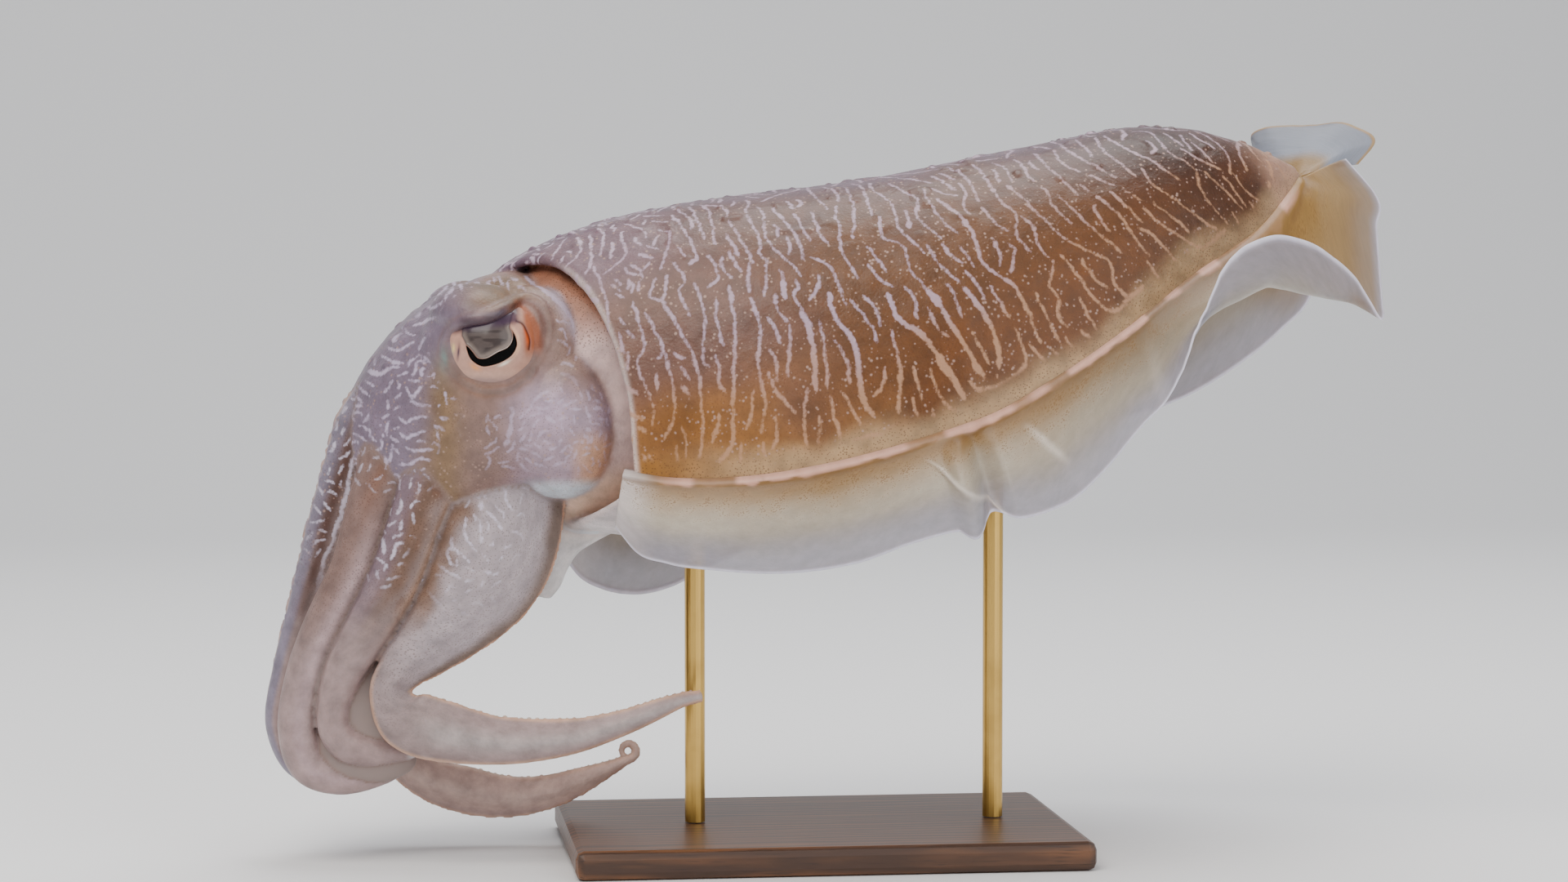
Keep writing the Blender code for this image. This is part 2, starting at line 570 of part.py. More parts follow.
def suckers(number, side, low=0.0, high=1.0, grow=0.0):
    """The cups of one arm that stand between two shares of its length."""
    chance = np.random.default_rng([SUCKER_SEED, int(number), side + 1])
    rows = arm_rows(number, side)
    _, inward, across = arm_frames(number, side, rows)
    run = np.linspace(0, 1, len(rows))
    first, last = SUCKER_SPAN[number]
    upper = math.copysign(1, across[len(rows) * 2 // 3, 2])
    made = []
    for i in range(SUCKER_COUNT[number]):
        size, drift = chance.uniform(-SUCKER_VARIATION, SUCKER_VARIATION, 2)
        share = first + (last - first) * i / (SUCKER_COUNT[number] - 1)
        if not low < share < high:
            continue
        row = [np.interp(share, run, rows[:, k]) for k in range(5)]
        out = np.array([np.interp(share, run, inward[:, k]) for k in range(3)])
        aside = np.array([np.interp(share, run, across[:, k]) for k in range(3)])
        lean = smooth(SUCKER_LEAN[number], share)
        row_offset = SUCKER_ROW * (1 - lean)
        place = lean * upper + (row_offset if i % 2 else -row_offset) + drift
        deep = row[4] * ORAL_FLATNESS * math.sqrt(1 - place**2)
        radius = min(SUCKER_LARGEST, max(SUCKER_SMALLEST, SUCKER_SHARE * row[3])) * (1 + size) + grow
        foot = np.array(row[:3]) + aside * place * row[3] + out * deep
        normal = out + aside * place * deep / row[3]
        made.append(sucker(foot, normal / np.linalg.norm(normal), radius, deep * SUCKER_ROOT))
    return made


def arm_name(side_name, number, part):
    return f"arm_{side_name}_{number}_{part}"


def cut_lengths(number, side, rings):
    """The arm's rings shared out into its lengths, with a thin gap between them."""
    rows = arm_rows(number, side)
    run = np.linspace(0, 1, len(rows))
    length = np.linalg.norm(np.diff(rows[:, :3], axis=0), axis=1).sum()
    slack = GAP / 2 / length
    ends = (0.0, *ARM_CUTS[number], 1.0)
    parts = []
    for k in range(len(ARM_LENGTHS)):
        low = ends[k] + (slack if k else 0)
        high = ends[k + 1] - (slack if k < len(ARM_LENGTHS) - 1 else 0)
        inside = run[(run > low + 0.3 / len(rows)) & (run < high - 0.3 / len(rows))]
        places = np.concatenate([[low], inside, [high]])
        flat = rings.reshape(len(rows), -1)
        parts.append(np.stack([np.interp(places, run, flat[:, c]) for c in range(flat.shape[1])], axis=1)
                     .reshape(len(places), -1, 3))
    return parts


def make_arms(finish):
    """Each arm in three lengths, cut clear of the head and of the arm before it."""
    for side_name, side in SIDES.items():
        before = None
        for number in ARM_ORAL:
            lengths = cut_lengths(number, side, arm_rings(number, side))
            for k, part in enumerate(ARM_LENGTHS):
                arm = loft(arm_name(side_name, number, part), lengths[k], finish)
                ends = (0.0, *ARM_CUTS[number], 1.0)
                cups = suckers(number, side, ends[k] + SUCKER_MARGIN, ends[k + 1] - SUCKER_MARGIN)
                apply_boolean(arm, cups, "UNION")
                cutters = []
                if k == 0:
                    cutters = [*head_pieces(GAP), neck_loft("neck_cut", GAP)]
                if before:
                    cutters.append(loft("before", arm_rings(before, side, GAP)))
                    cutters += suckers(before, side, grow=GAP)
                if number == "4" and k == 0:
                    cutters.append(loft("funnel_cut", funnel_rings(GAP)))
                if cutters:
                    apply_boolean(arm, cutters, "DIFFERENCE")
            before = number


# Fins

def fin_lines(side_name):
    """The fin's root, edge and bow at places spread over it, closer together where the edge is long."""
    side = SIDES[side_name]
    fine = FIN_END - (FIN_END - FIN_FRONT) * np.cos(np.linspace(0, math.pi / 2, 300)) ** 1.5
    root = np.column_stack([fine, smooth(MANTLE_HALF_WIDTH, fine), smooth(FIN_LINE, fine)])
    keys = smooth(FIN_KEYS[side_name], fine)
    edge = keys[:, :3]
    bow = np.column_stack([np.zeros(len(fine)), keys[:, 3], keys[:, 4]])
    heading = np.gradient(root[:, :2], axis=0)
    heading /= np.linalg.norm(heading, axis=1)[:, None]
    outward = np.column_stack([-heading[:, 1], heading[:, 0], np.zeros(len(fine))])
    sunk = root - outward * FIN_SUNK
    steps = np.linalg.norm(np.diff(root, axis=0), axis=1) + np.linalg.norm(np.diff(edge, axis=0), axis=1)
    run = np.concatenate([[0], np.cumsum(steps)])
    even = np.linspace(0, run[-1], FIN_STATIONS)
    lines = [np.stack([np.interp(even, run, line[:, k]) for k in range(3)], axis=1)
             for line in (sunk, root, edge, bow)]
    return [line * (1, side, 1) for line in lines]


def fin_sheet(side_name):
    """Middle points of the fin from root to edge, and the direction across its thickness."""
    sunk, root, edge, bow = fin_lines(side_name)
    middle = (root + edge) / 2 + bow
    columns = [sunk]
    for t in np.linspace(0, 1, FIN_STEPS + 1):
        columns.append(root * (1 - t) ** 2 + middle * 2 * t * (1 - t) + edge * t**2)
    sheet = np.stack(columns, axis=1)
    normal = np.cross(np.gradient(sheet, axis=1), np.gradient(sheet, axis=0))
    return sheet, normal / np.linalg.norm(normal, axis=2)[..., None]


def fin_rings(side_name, first, last):
    """Closed rings round the fin's section, for the stretch between two shares of its stations."""
    sheet, normal = fin_sheet(side_name)
    share = np.linspace(0, 1, FIN_STATIONS)
    thick = np.linspace(FIN_ROOT_HALF_THICKNESS, FIN_EDGE_HALF_THICKNESS, FIN_STEPS + 2)
    upper = sheet + normal * thick[None, :, None]
    lower = sheet - normal * thick[None, :, None]
    rings = np.concatenate([upper, lower[:, ::-1]], axis=1)
    rings = on_mantle_axes(rings[..., 0], rings[..., 1], rings[..., 2])
    inside = share[(share > first + 0.3 / FIN_STATIONS) & (share < last - 0.3 / FIN_STATIONS)]
    places = np.concatenate([[first], inside, [last]])
    flat = rings.reshape(FIN_STATIONS, -1)
    columns = [np.interp(places, share, flat[:, c]) for c in range(flat.shape[1])]
    return np.stack(columns, axis=1).reshape(len(places), -1, 3)


def strip_loft(name, rings, finish=None):
    """A loft over flat rings, out along one face and back along the other, with both faces split alike."""
    count, sides = rings.shape[:2]
    half = sides // 2
    faces = []
    for i in range(count - 1):
        for j in range(sides):
            a, b = i * sides + j, i * sides + (j + 1) % sides
            c, d = a + sides, b + sides
            faces += [(a, b, d), (a, d, c)] if j < half else [(a, b, c), (b, d, c)]
    for base in (0, (count - 1) * sides):
        for j in range(half - 1):
            a, b = base + j, base + j + 1
            c, d = base + sides - 1 - j, base + sides - 2 - j
            faces += [(a, b, c), (b, d, c)]
    return new_object(name, rings.reshape(-1, 3), faces, finish)


def make_fins(finish):
    """Both fins in three stretches each, cut clear of the mantle and of each other."""
    for side_name in SIDES:
        root = fin_lines(side_name)[1]
        slack = GAP / 2 / np.linalg.norm(np.diff(root, axis=0), axis=1).sum()
        for part, first, last in FIN_NODES:
            low = first + (slack if first > 0 else 0)
            high = last - (slack if last < 1 else 0)
            fin = strip_loft(f"fin_{side_name}_{part}", fin_rings(side_name, low, high), finish)
            apply_boolean(fin, [mantle_loft("mantle_cut", GAP)], "DIFFERENCE")


# Stand

def belly_height(x):
    """Height of the mantle's underside above the floor at a place along X."""
    best = None
    for along in np.linspace(0, MANTLE_END, 400):
        point = on_mantle_axes(along, 0.0, smooth(MANTLE_BELLY, along))
        if best is None or abs(point[0] - x) < abs(best[0] - x):
            best = point
    return float(best[2])


def make_base(finish):
    bpy.ops.mesh.primitive_cube_add(size=MM)
    base = adopt("stand_base", Matrix.Translation((0, 0, BASE_HEIGHT / 2 * MM))
                 @ Matrix.Diagonal((BASE_LENGTH, BASE_WIDTH, BASE_HEIGHT, 1)), finish)
    edge = base.modifiers.new("edge", "BEVEL")
    edge.width = BASE_EDGE * MM
    edge.segments = 2
    edge.limit_method = "ANGLE"
    edge.angle_limit = math.radians(40)
    return base


def make_rod(name, x, finish):
    """A rod from a hole in the base up to the belly, cut to fit it."""
    foot = BASE_HEIGHT + GAP
    top = belly_height(x) + ROD_SUNK
    bpy.ops.mesh.primitive_cylinder_add(vertices=24, radius=ROD_RADIUS * MM, depth=(top - foot) * MM)
    rod = adopt(name, Matrix.Translation((x * MM, 0, (top + foot) / 2 * MM)), finish)
    apply_boolean(rod, [mantle_loft("mantle_cut", GAP)], "DIFFERENCE")


def make_model():
    skin = material("skin_back", BACK_BROWN, 0.45)
    face = material("skin_head", HEAD_MAUVE, 0.42)
    arm_skin = material("skin_arms", ARM_PINK, 0.42)
    fin_skin = material("skin_fins", FIN_WHITE, 0.35)
    neck_skin = material("skin_neck", NECK_PINK, 0.4)
    eye_finish = material("eye", EYE_PINK, 0.1)
    wood = material("base_wood", WALNUT, 0.4)
    metal = material("rod_brass", BRASS, 0.25, 1.0)
    mantle = mantle_loft("mantle", finish=skin)
    openings = [neck_loft("neck_cut", GAP), loft("funnel_cut", funnel_rings(GAP)), *head_pieces(GAP)]
    apply_boolean(mantle, openings, "DIFFERENCE")
    neck_loft("neck", 0.0, neck_skin)
    make_head(face)
    make_eyes(eye_finish)
    make_funnel(neck_skin)
    make_arms(arm_skin)
    make_fins(fin_skin)
    make_base(wood)
    make_rod("stand_rod_front", ROD_FRONT_X, metal)
    make_rod("stand_rod_rear", ROD_REAR_X, metal)


make_model()
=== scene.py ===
"""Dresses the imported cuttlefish: one moist skin over its solids, eyes, suckers and the stand.

Sizes and places are in millimetres in the model's own frame, and MM turns them into metres.
The animal faces -X, its back faces +Z and its left side faces -Y.
"""

import logging
import math
from dataclasses import dataclass, field
from enum import Enum
from itertools import product

import bpy
import numpy as np
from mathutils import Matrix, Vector
from mathutils.bvhtree import BVHTree
from mathutils.kdtree import KDTree


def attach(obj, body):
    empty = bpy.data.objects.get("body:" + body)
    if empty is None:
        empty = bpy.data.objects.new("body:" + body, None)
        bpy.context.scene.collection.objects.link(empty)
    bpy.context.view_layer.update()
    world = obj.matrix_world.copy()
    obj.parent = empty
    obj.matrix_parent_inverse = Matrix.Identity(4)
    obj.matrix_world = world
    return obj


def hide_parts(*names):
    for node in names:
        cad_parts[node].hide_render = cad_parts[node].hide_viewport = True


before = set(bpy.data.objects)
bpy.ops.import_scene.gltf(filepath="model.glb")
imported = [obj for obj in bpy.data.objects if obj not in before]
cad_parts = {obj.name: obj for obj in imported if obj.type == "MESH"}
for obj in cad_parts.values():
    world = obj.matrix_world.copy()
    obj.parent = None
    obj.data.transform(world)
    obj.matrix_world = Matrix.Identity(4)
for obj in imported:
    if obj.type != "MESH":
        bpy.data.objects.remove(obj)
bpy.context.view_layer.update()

MM = 0.001
CURVE_STEPS = 1200
LOG = logging.getLogger("cuttlefish")
Keys = list[tuple[float, ...]]
Lines = dict[float, Keys]


class Side(Enum):
    """The animal's sides, by the sign of Y."""

    LEFT = -1
    RIGHT = 1


class Region(Enum):
    """What a point of the skin belongs to."""

    MANTLE = 0
    NECK = 1
    HEAD = 2
    LID = 3
    FUNNEL = 4
    ARM = 5


# Numbers and points


def linear(hex_colour: str) -> np.ndarray:
    """Turns an sRGB hex colour into linear red, green and blue.

    Args:
        hex_colour: Six hex digits after a hash.

    Returns:
        Three linear values from 0 to 1.
    """
    values = np.array([int(hex_colour[i:i + 2], 16) / 255 for i in (1, 3, 5)])
    return np.where(values <= 0.04045, values / 12.92, ((values + 0.055) / 1.055) ** 2.4)


def rgba(hex_colour: str) -> tuple[float, ...]:
    """A hex colour as linear red, green and blue with an alpha of 1."""
    return (*linear(hex_colour), 1.0)


def through(knots: np.ndarray, values: np.ndarray, slope: np.ndarray, at: np.ndarray) -> np.ndarray:
    """Reads a smooth curve at many places.

    Args:
        knots: Rising places along the curve.
        values: The curve's rows at the knots.
        slope: How fast the rows change there.
        at: Where the curve is read.

    Returns:
        One row for each place.
    """
    i = np.clip(np.searchsorted(knots, at) - 1, 0, len(knots) - 2)
    step = (knots[i + 1] - knots[i])[:, None]
    t = (at - knots[i])[:, None] / step
    return (values[i] * (1 + 2 * t) * (1 - t) ** 2 + values[i + 1] * t**2 * (3 - 2 * t)
            + step * (slope[i] * t * (1 - t) ** 2 - slope[i + 1] * t**2 * (1 - t)))


def smooth(keys: Keys, place: np.ndarray) -> np.ndarray:
    """Reads a smooth curve through keys at many places.

    Args:
        keys: Rows of a place and one or more values.
        place: Where the curve is read, in any shape.

    Returns:
        The values, with a last axis only where a key has more than one.
    """
    table = np.array(keys, float)
    x, y = table[:, 0], table[:, 1:]
    slope = np.gradient(y, x, axis=0)
    chord = np.diff(y, axis=0) / np.diff(x)[:, None]
    limit = 3 * np.minimum(np.abs(np.vstack([chord[:1], chord])), np.abs(np.vstack([chord, chord[-1:]])))
    shape = np.shape(place)
    value = through(x, y, np.clip(slope, -limit, limit), np.clip(np.ravel(place), x[0], x[-1]))
    return value[:, 0].reshape(shape) if y.shape[1] == 1 else value.reshape(*shape, -1)


def distances(points: np.ndarray) -> np.ndarray:
    """How far along a path each of its points lies."""
    return np.concatenate([[0], np.cumsum(np.linalg.norm(np.diff(points, axis=0), axis=1))])


def spline(points: Keys, count: int) -> np.ndarray:
    """Spreads points evenly along a smooth curve.

    Args:
        points: Rows of a point and further values that are carried along.
        count: How many rows come back.

    Returns:
        The rows along the curve.
    """
    rows = np.array(points, float)
    chord = np.sqrt(np.linalg.norm(np.diff(rows[:, :3], axis=0), axis=1))
    knots = np.concatenate([[0], np.cumsum(chord)])
    fine = np.linspace(0, knots[-1], CURVE_STEPS)
    curve = through(knots, rows, np.gradient(rows, knots, axis=0), fine)
    run = distances(curve[:, :3])
    even = np.linspace(0, run[-1], count)
    return np.stack([np.interp(even, run, curve[:, k]) for k in range(curve.shape[1])], axis=1)


def ease(low: float, high: float, value: np.ndarray) -> np.ndarray:
    """Rises smoothly from 0 at low to 1 at high; falls where low is above high."""
    t = np.clip((value - low) / (high - low), 0, 1)
    return t * t * (3 - 2 * t)


def bell(middle: float, width: float, value: np.ndarray) -> np.ndarray:
    """A soft peak of 1 at the middle that is small beyond the width."""
    return np.exp(-2 * ((value - middle) / width) ** 2)


def noise(points: np.ndarray, size: float, seed: int = 0) -> np.ndarray:
    """Smooth value noise.

    Args:
        points: Places in millimetres, one row each.
        size: Distance between the noise's lumps.
        seed: Which noise it is.

    Returns:
        Values from -1 to 1.
    """
    place = points / size + np.array([11.3, 5.7, 3.1]) * (seed + 1)
    cell = np.floor(place).astype(np.int64)
    part = place - cell
    part = part * part * (3 - 2 * part)
    total = np.zeros(len(points))
    for corner in product((0, 1), repeat=3):
        x, y, z = (cell + corner).T
        mixed = (x * 73856093) ^ (y * 19349663) ^ (z * 83492791) ^ (seed * 2654435)
        mixed = (mixed ^ (mixed >> 13)) * 1274126177
        value = ((mixed ^ (mixed >> 16)) & 0xFFFF) / 32767.5 - 1
        total += value * np.prod(np.where(corner, part, 1 - part), axis=1)
    return total


def line_noise(place: np.ndarray, size: float, seed: int) -> np.ndarray:
    """Smooth noise along a line, from -1 to 1."""
    return noise(np.column_stack([place, 0 * place, 0 * place]), size, seed)


def unit(vectors: np.ndarray) -> np.ndarray:
    """Vectors of length one."""
    return vectors / np.linalg.norm(vectors, axis=-1, keepdims=True)


# Meshes


@dataclass
class Shell:
    """Points and faces of one closed form, with what it is made of."""

    points: np.ndarray
    faces: np.ndarray
    region: Region
    number: int = 0


def joined(parts: list[tuple[np.ndarray, np.ndarray]]) -> tuple[np.ndarray, np.ndarray]:
    """Points and faces of several meshes as one."""
    starts = np.cumsum([0] + [len(points) for points, _ in parts])
    return (np.vstack([points for points, _ in parts]),
            np.vstack([faces + start for (_, faces), start in zip(parts, starts)]))


def sheet_faces(count: int, width: int) -> np.ndarray:
    """Faces of a sheet whose points are numbered row by row."""
    a = (np.arange(count - 1)[:, None] * width + np.arange(width - 1)).ravel()
    return np.stack([a, a + 1, a + 1 + width, a + width], 1)


def tube_shell(rings: np.ndarray, region: Region, number: int = 0) -> Shell:
    """Closes a tube over rings of points with a fan at each end.

    Args:
        rings: Points by ring and by place round the ring.
        region: What the tube belongs to.
        number: Which arm it is, or 0.

    Returns:
        The closed shell, in triangles.
    """
    count, sides = rings.shape[:2]
    points = np.vstack([rings.reshape(-1, 3), rings[0].mean(0), rings[-1].mean(0)])
    k = np.arange(sides)
    after = (k + 1) % sides
    start = np.arange(count - 1)[:, None] * sides
    a, b = (start + k).ravel(), (start + after).ravel()
    first, last = np.full(sides, count * sides), np.full(sides, count * sides + 1)
    end = (count - 1) * sides
    faces = np.vstack([np.stack([a, b, b + sides], 1), np.stack([a, b + sides, a + sides], 1),
                       np.stack([first, after, k], 1), np.stack([last, end + k, end + after], 1)])
    return Shell(points, faces, region, number)


def oval_shell(centre: tuple[float, ...], radii: tuple[float, ...], region: Region) -> Shell:
    """A closed ellipsoid.

    Args:
        centre: Its middle.
        radii: Its half sizes along X, Y and Z.
        region: What it belongs to.

    Returns:
        The closed shell.
    """
    turn = np.linspace(0, 2 * math.pi, 72, endpoint=False)
    rise = np.linspace(-math.pi / 2, math.pi / 2, 50)[1:-1]
    ball = np.stack([np.cos(rise)[:, None] * np.cos(turn), np.cos(rise)[:, None] * np.sin(turn),
                     np.broadcast_to(np.sin(rise)[:, None], (len(rise), len(turn)))], axis=2)
    return tube_shell(ball * np.array(radii) + np.array(centre), region)


def path_frames(path: np.ndarray, facing: np.ndarray) -> tuple[np.ndarray, np.ndarray, np.ndarray]:
    """Directions along, towards a given side and across, for each point of a path.

    Args:
        path: The points.
        facing: The direction that the second set leans to.

    Returns:
        Three sets of unit vectors.
    """
    along = unit(np.gradient(path, axis=0))
    inward = unit(facing - (along @ facing)[:, None] * along)
    return along, inward, np.cross(along, inward)


def round_rings(path: np.ndarray, radii: np.ndarray, sides: int) -> np.ndarray:
    """Round rings along a path that lies near the middle plane."""
    _, inward, across = path_frames(path, np.array([0.0, 1.0, 0.0]))
    turn = np.linspace(0, 2 * math.pi, sides, endpoint=False)
    return (path[:, None] + radii[:, None, None] * (np.cos(turn)[None, :, None] * across[:, None]
                                                    + np.sin(turn)[None, :, None] * inward[:, None]))


def new_object(name: str, points: np.ndarray, faces: np.ndarray) -> bpy.types.Object:
    """Makes a smooth-shaded mesh object.

    Args:
        name: The piece's name.
        points: Places in millimetres.
        faces: Corner numbers, one row for each face.

    Returns:
        The object, linked to the scene.
    """
    mesh = bpy.data.meshes.new(name)
    mesh.vertices.add(len(points))
    mesh.vertices.foreach_set("co", (points * MM).astype(np.float32).ravel())
    mesh.loops.add(faces.size)
    mesh.loops.foreach_set("vertex_index", faces.astype(np.int32).ravel())
    mesh.polygons.add(len(faces))
    mesh.polygons.foreach_set("loop_start", np.arange(0, faces.size, faces.shape[1], dtype=np.int32))
    mesh.update(calc_edges=True)
    mesh.shade_smooth()
    made = bpy.data.objects.new(name, mesh)
    bpy.context.scene.collection.objects.link(made)
    return made


def read_mesh(made: bpy.types.Object) -> tuple[np.ndarray, np.ndarray]:
    """A mesh's points in millimetres, and its faces, all with as many corners as the first."""
    mesh = made.data
    points = np.empty(len(mesh.vertices) * 3, np.float32)
    mesh.vertices.foreach_get("co", points)
    corners = np.empty(len(mesh.loops), np.int32)
    mesh.loops.foreach_get("vertex_index", corners)
    return points.reshape(-1, 3).astype(float) / MM, corners.reshape(len(mesh.polygons), -1)


def point_normals(points: np.ndarray, faces: np.ndarray) -> np.ndarray:
    """Unit normals of a mesh's points, from its faces."""
    diagonal = np.cross(points[faces[:, 2]] - points[faces[:, 0]],
                        points[faces[:, -1]] - points[faces[:, 1]])
    total = np.zeros_like(points)
    for corner in range(faces.shape[1]):
        for axis in range(3):
            total[:, axis] += np.bincount(faces[:, corner], diagonal[:, axis], len(points))
    return total / np.maximum(np.linalg.norm(total, axis=1, keepdims=True), 1e-9)


def give_attribute(made: bpy.types.Object, name: str, values: np.ndarray) -> None:
    """Stores a number, a vector or a colour for each point of a mesh.

    Args:
        made: The object.
        name: The attribute's name, as its material reads it.
        values: One row for each point; four columns are a colour.
    """
    kind, key = {1: ("FLOAT", "value"), 3: ("FLOAT_VECTOR", "vector"),
                 4: ("FLOAT_COLOR", "color")}[1 if values.ndim == 1 else values.shape[1]]
    attribute = made.data.attributes.new(name, kind, "POINT")
    attribute.data.foreach_set(key, values.astype(np.float32).ravel())


class Tones:
    """Broad colours over a mesh's points, laid one over another by soft masks."""

    def __init__(self, base: str, count: int) -> None:
        """Starts with one colour all over."""
        self.colour = np.tile(linear(base), (count, 1))

    def lay(self, hex_colour: str, mask: np.ndarray) -> None:
        """Lays a colour over the others where the mask is above 0."""
        share = np.clip(mask, 0, 1)[:, None]
        self.colour = self.colour * (1 - share) + linear(hex_colour) * share

    def rgba(self) -> np.ndarray:
        """The colours with an alpha of 1."""
        return np.column_stack([self.colour, np.ones(len(self.colour))])


# The animal's forms, close to its solids


@dataclass
class Mantle:
    """The body behind the head, as rings round a pitched axis."""

    origin: tuple[float, float, float] = (-55.0, 0.0, 96.0)
    pitch: float = math.radians(14.0)
    top: Keys = field(default_factory=lambda: [
        (-14, 49.5), (0, 54), (20, 56), (45, 54.5), (80, 50.5), (120, 48.5), (150, 46.5), (165, 42),
        (174, 37), (180, 33), (185, 29), (187.2, 26.5), (188, 24)])
    belly: Keys = field(default_factory=lambda: [
        (-14, -12), (0, -18), (25, -26), (55, -30), (90, -26), (120, -16), (150, -3), (172, 9.5),
        (182, 17.5), (188, 24)])
    half_width: Keys = field(default_factory=lambda: [
        (-14, 33), (0, 38), (20, 44), (48, 49), (80, 49), (110, 44.5), (135, 36.5), (155, 27),
        (170, 17.5), (178, 10.5), (184, 5.5), (187, 2.2), (188, 0)])
    fin_line: Keys = field(default_factory=lambda: [
        (-14, 4), (4, -2.5), (12, -6), (28, -10), (48, -12), (87, -11), (109, -6), (133, 2), (150, 8.5),
        (160, 11.2), (171, 14.6), (178, 18), (184, 21.5), (188, 24)])
    back_fullness: float = 2.35
    belly_fullness: float = 2.1
    front_margin: Keys = field(default_factory=lambda: [
        (0, -13), (27, 1.4), (40, 6), (55, 9), (72, 9.6), (90, 6.5), (105, 3), (125, -3), (150, -9),
        (180, -12)])
    margin_fade: float = 46.0
    lip: Keys = field(default_factory=lambda: [
        (9, -3.6), (6, -2.9), (3, -2.2), (1.2, -1.7), (0.3, -1.2), (0, -0.6), (0.2, -0.1), (0.9, 0.2),
        (2, 0.3), (4, 0.25), (7, 0.1), (10, 0)])
    sides: int = 260

    def __post_init__(self) -> None:
        """Works out the directions of the mantle's own axes."""
        lean, rise = math.cos(self.pitch), math.sin(self.pitch)
        self.axes = np.array([[lean, 0, rise], [0, 1, 0], [-rise, 0, lean]])

    def to_model(self, local: np.ndarray) -> np.ndarray:
        """Model points from places along, beside and above the axis."""
        return local @ self.axes + np.array(self.origin)

    def to_local(self, points: np.ndarray) -> np.ndarray:
        """Places along, beside and above the axis from model points."""
        return (points - np.array(self.origin)) @ self.axes.T

    def ring(self, along: float, grow: float) -> np.ndarray:
        """One ring of the mantle, from the middle of the back round the right side."""
        turn = np.linspace(0, 2 * math.pi, self.sides, endpoint=False)
        margin = smooth(self.front_margin, np.degrees(np.minimum(turn, 2 * math.pi - turn)))
        place = along + margin * max(0.0, 1 - along / self.margin_fade)
        line = smooth(self.fin_line, place)
        across, upright = np.sin(turn), np.cos(turn)
        power = 2 / np.where(upright > 0, self.back_fullness, self.belly_fullness)
        width = np.maximum(smooth(self.half_width, place) + grow, 0.05)
        side = width * np.sign(across) * np.abs(across) ** power
        rise = np.abs(upright) ** power
        top = smooth(self.top, place) + grow - line
        low = smooth(self.belly, place) - grow - line
        return self.to_model(np.column_stack([place, side, line + np.where(upright > 0, top, low) * rise]))

    def shell(self) -> Shell:
        """The mantle with a turned-in lip at its front."""
        rings = [self.ring(along, grow) for along, grow in self.lip]
        places = 187.6 - 177.6 * np.cos(np.linspace(0.03, math.pi / 2, 170)) ** 1.15
        rings += [self.ring(along, 0.0) for along in places if along > self.lip[-1][0] + 0.5]
        return tube_shell(np.array(rings), Region.MANTLE)

    def around(self, local: np.ndarray) -> tuple[np.ndarray, np.ndarray, np.ndarray]:
        """Where points lie round the mantle.

        Args:
            local: Places along, beside and above the axis.

        Returns:
            The angle from the middle of the back, the distance from it over the skin, and the
            height above the fin line.
        """
        along, side, height = local.T
        line = smooth(self.fin_line, along)
        above = height - line
        span = np.where(above > 0, smooth(self.top, along) - line, line - smooth(self.belly, along))
        power = np.where(above > 0, self.back_fullness, self.belly_fullness) / 2
        wide = (np.abs(side) / np.maximum(smooth(self.half_width, along), 0.5)) ** power
        tall = np.sign(above) * (np.abs(above) / np.maximum(span, 0.5)) ** power
        turn = np.arctan2(wide, tall)
        reach = (smooth(self.half_width, along) + smooth(self.top, along) - line) * 0.5
        return turn, turn * reach, above


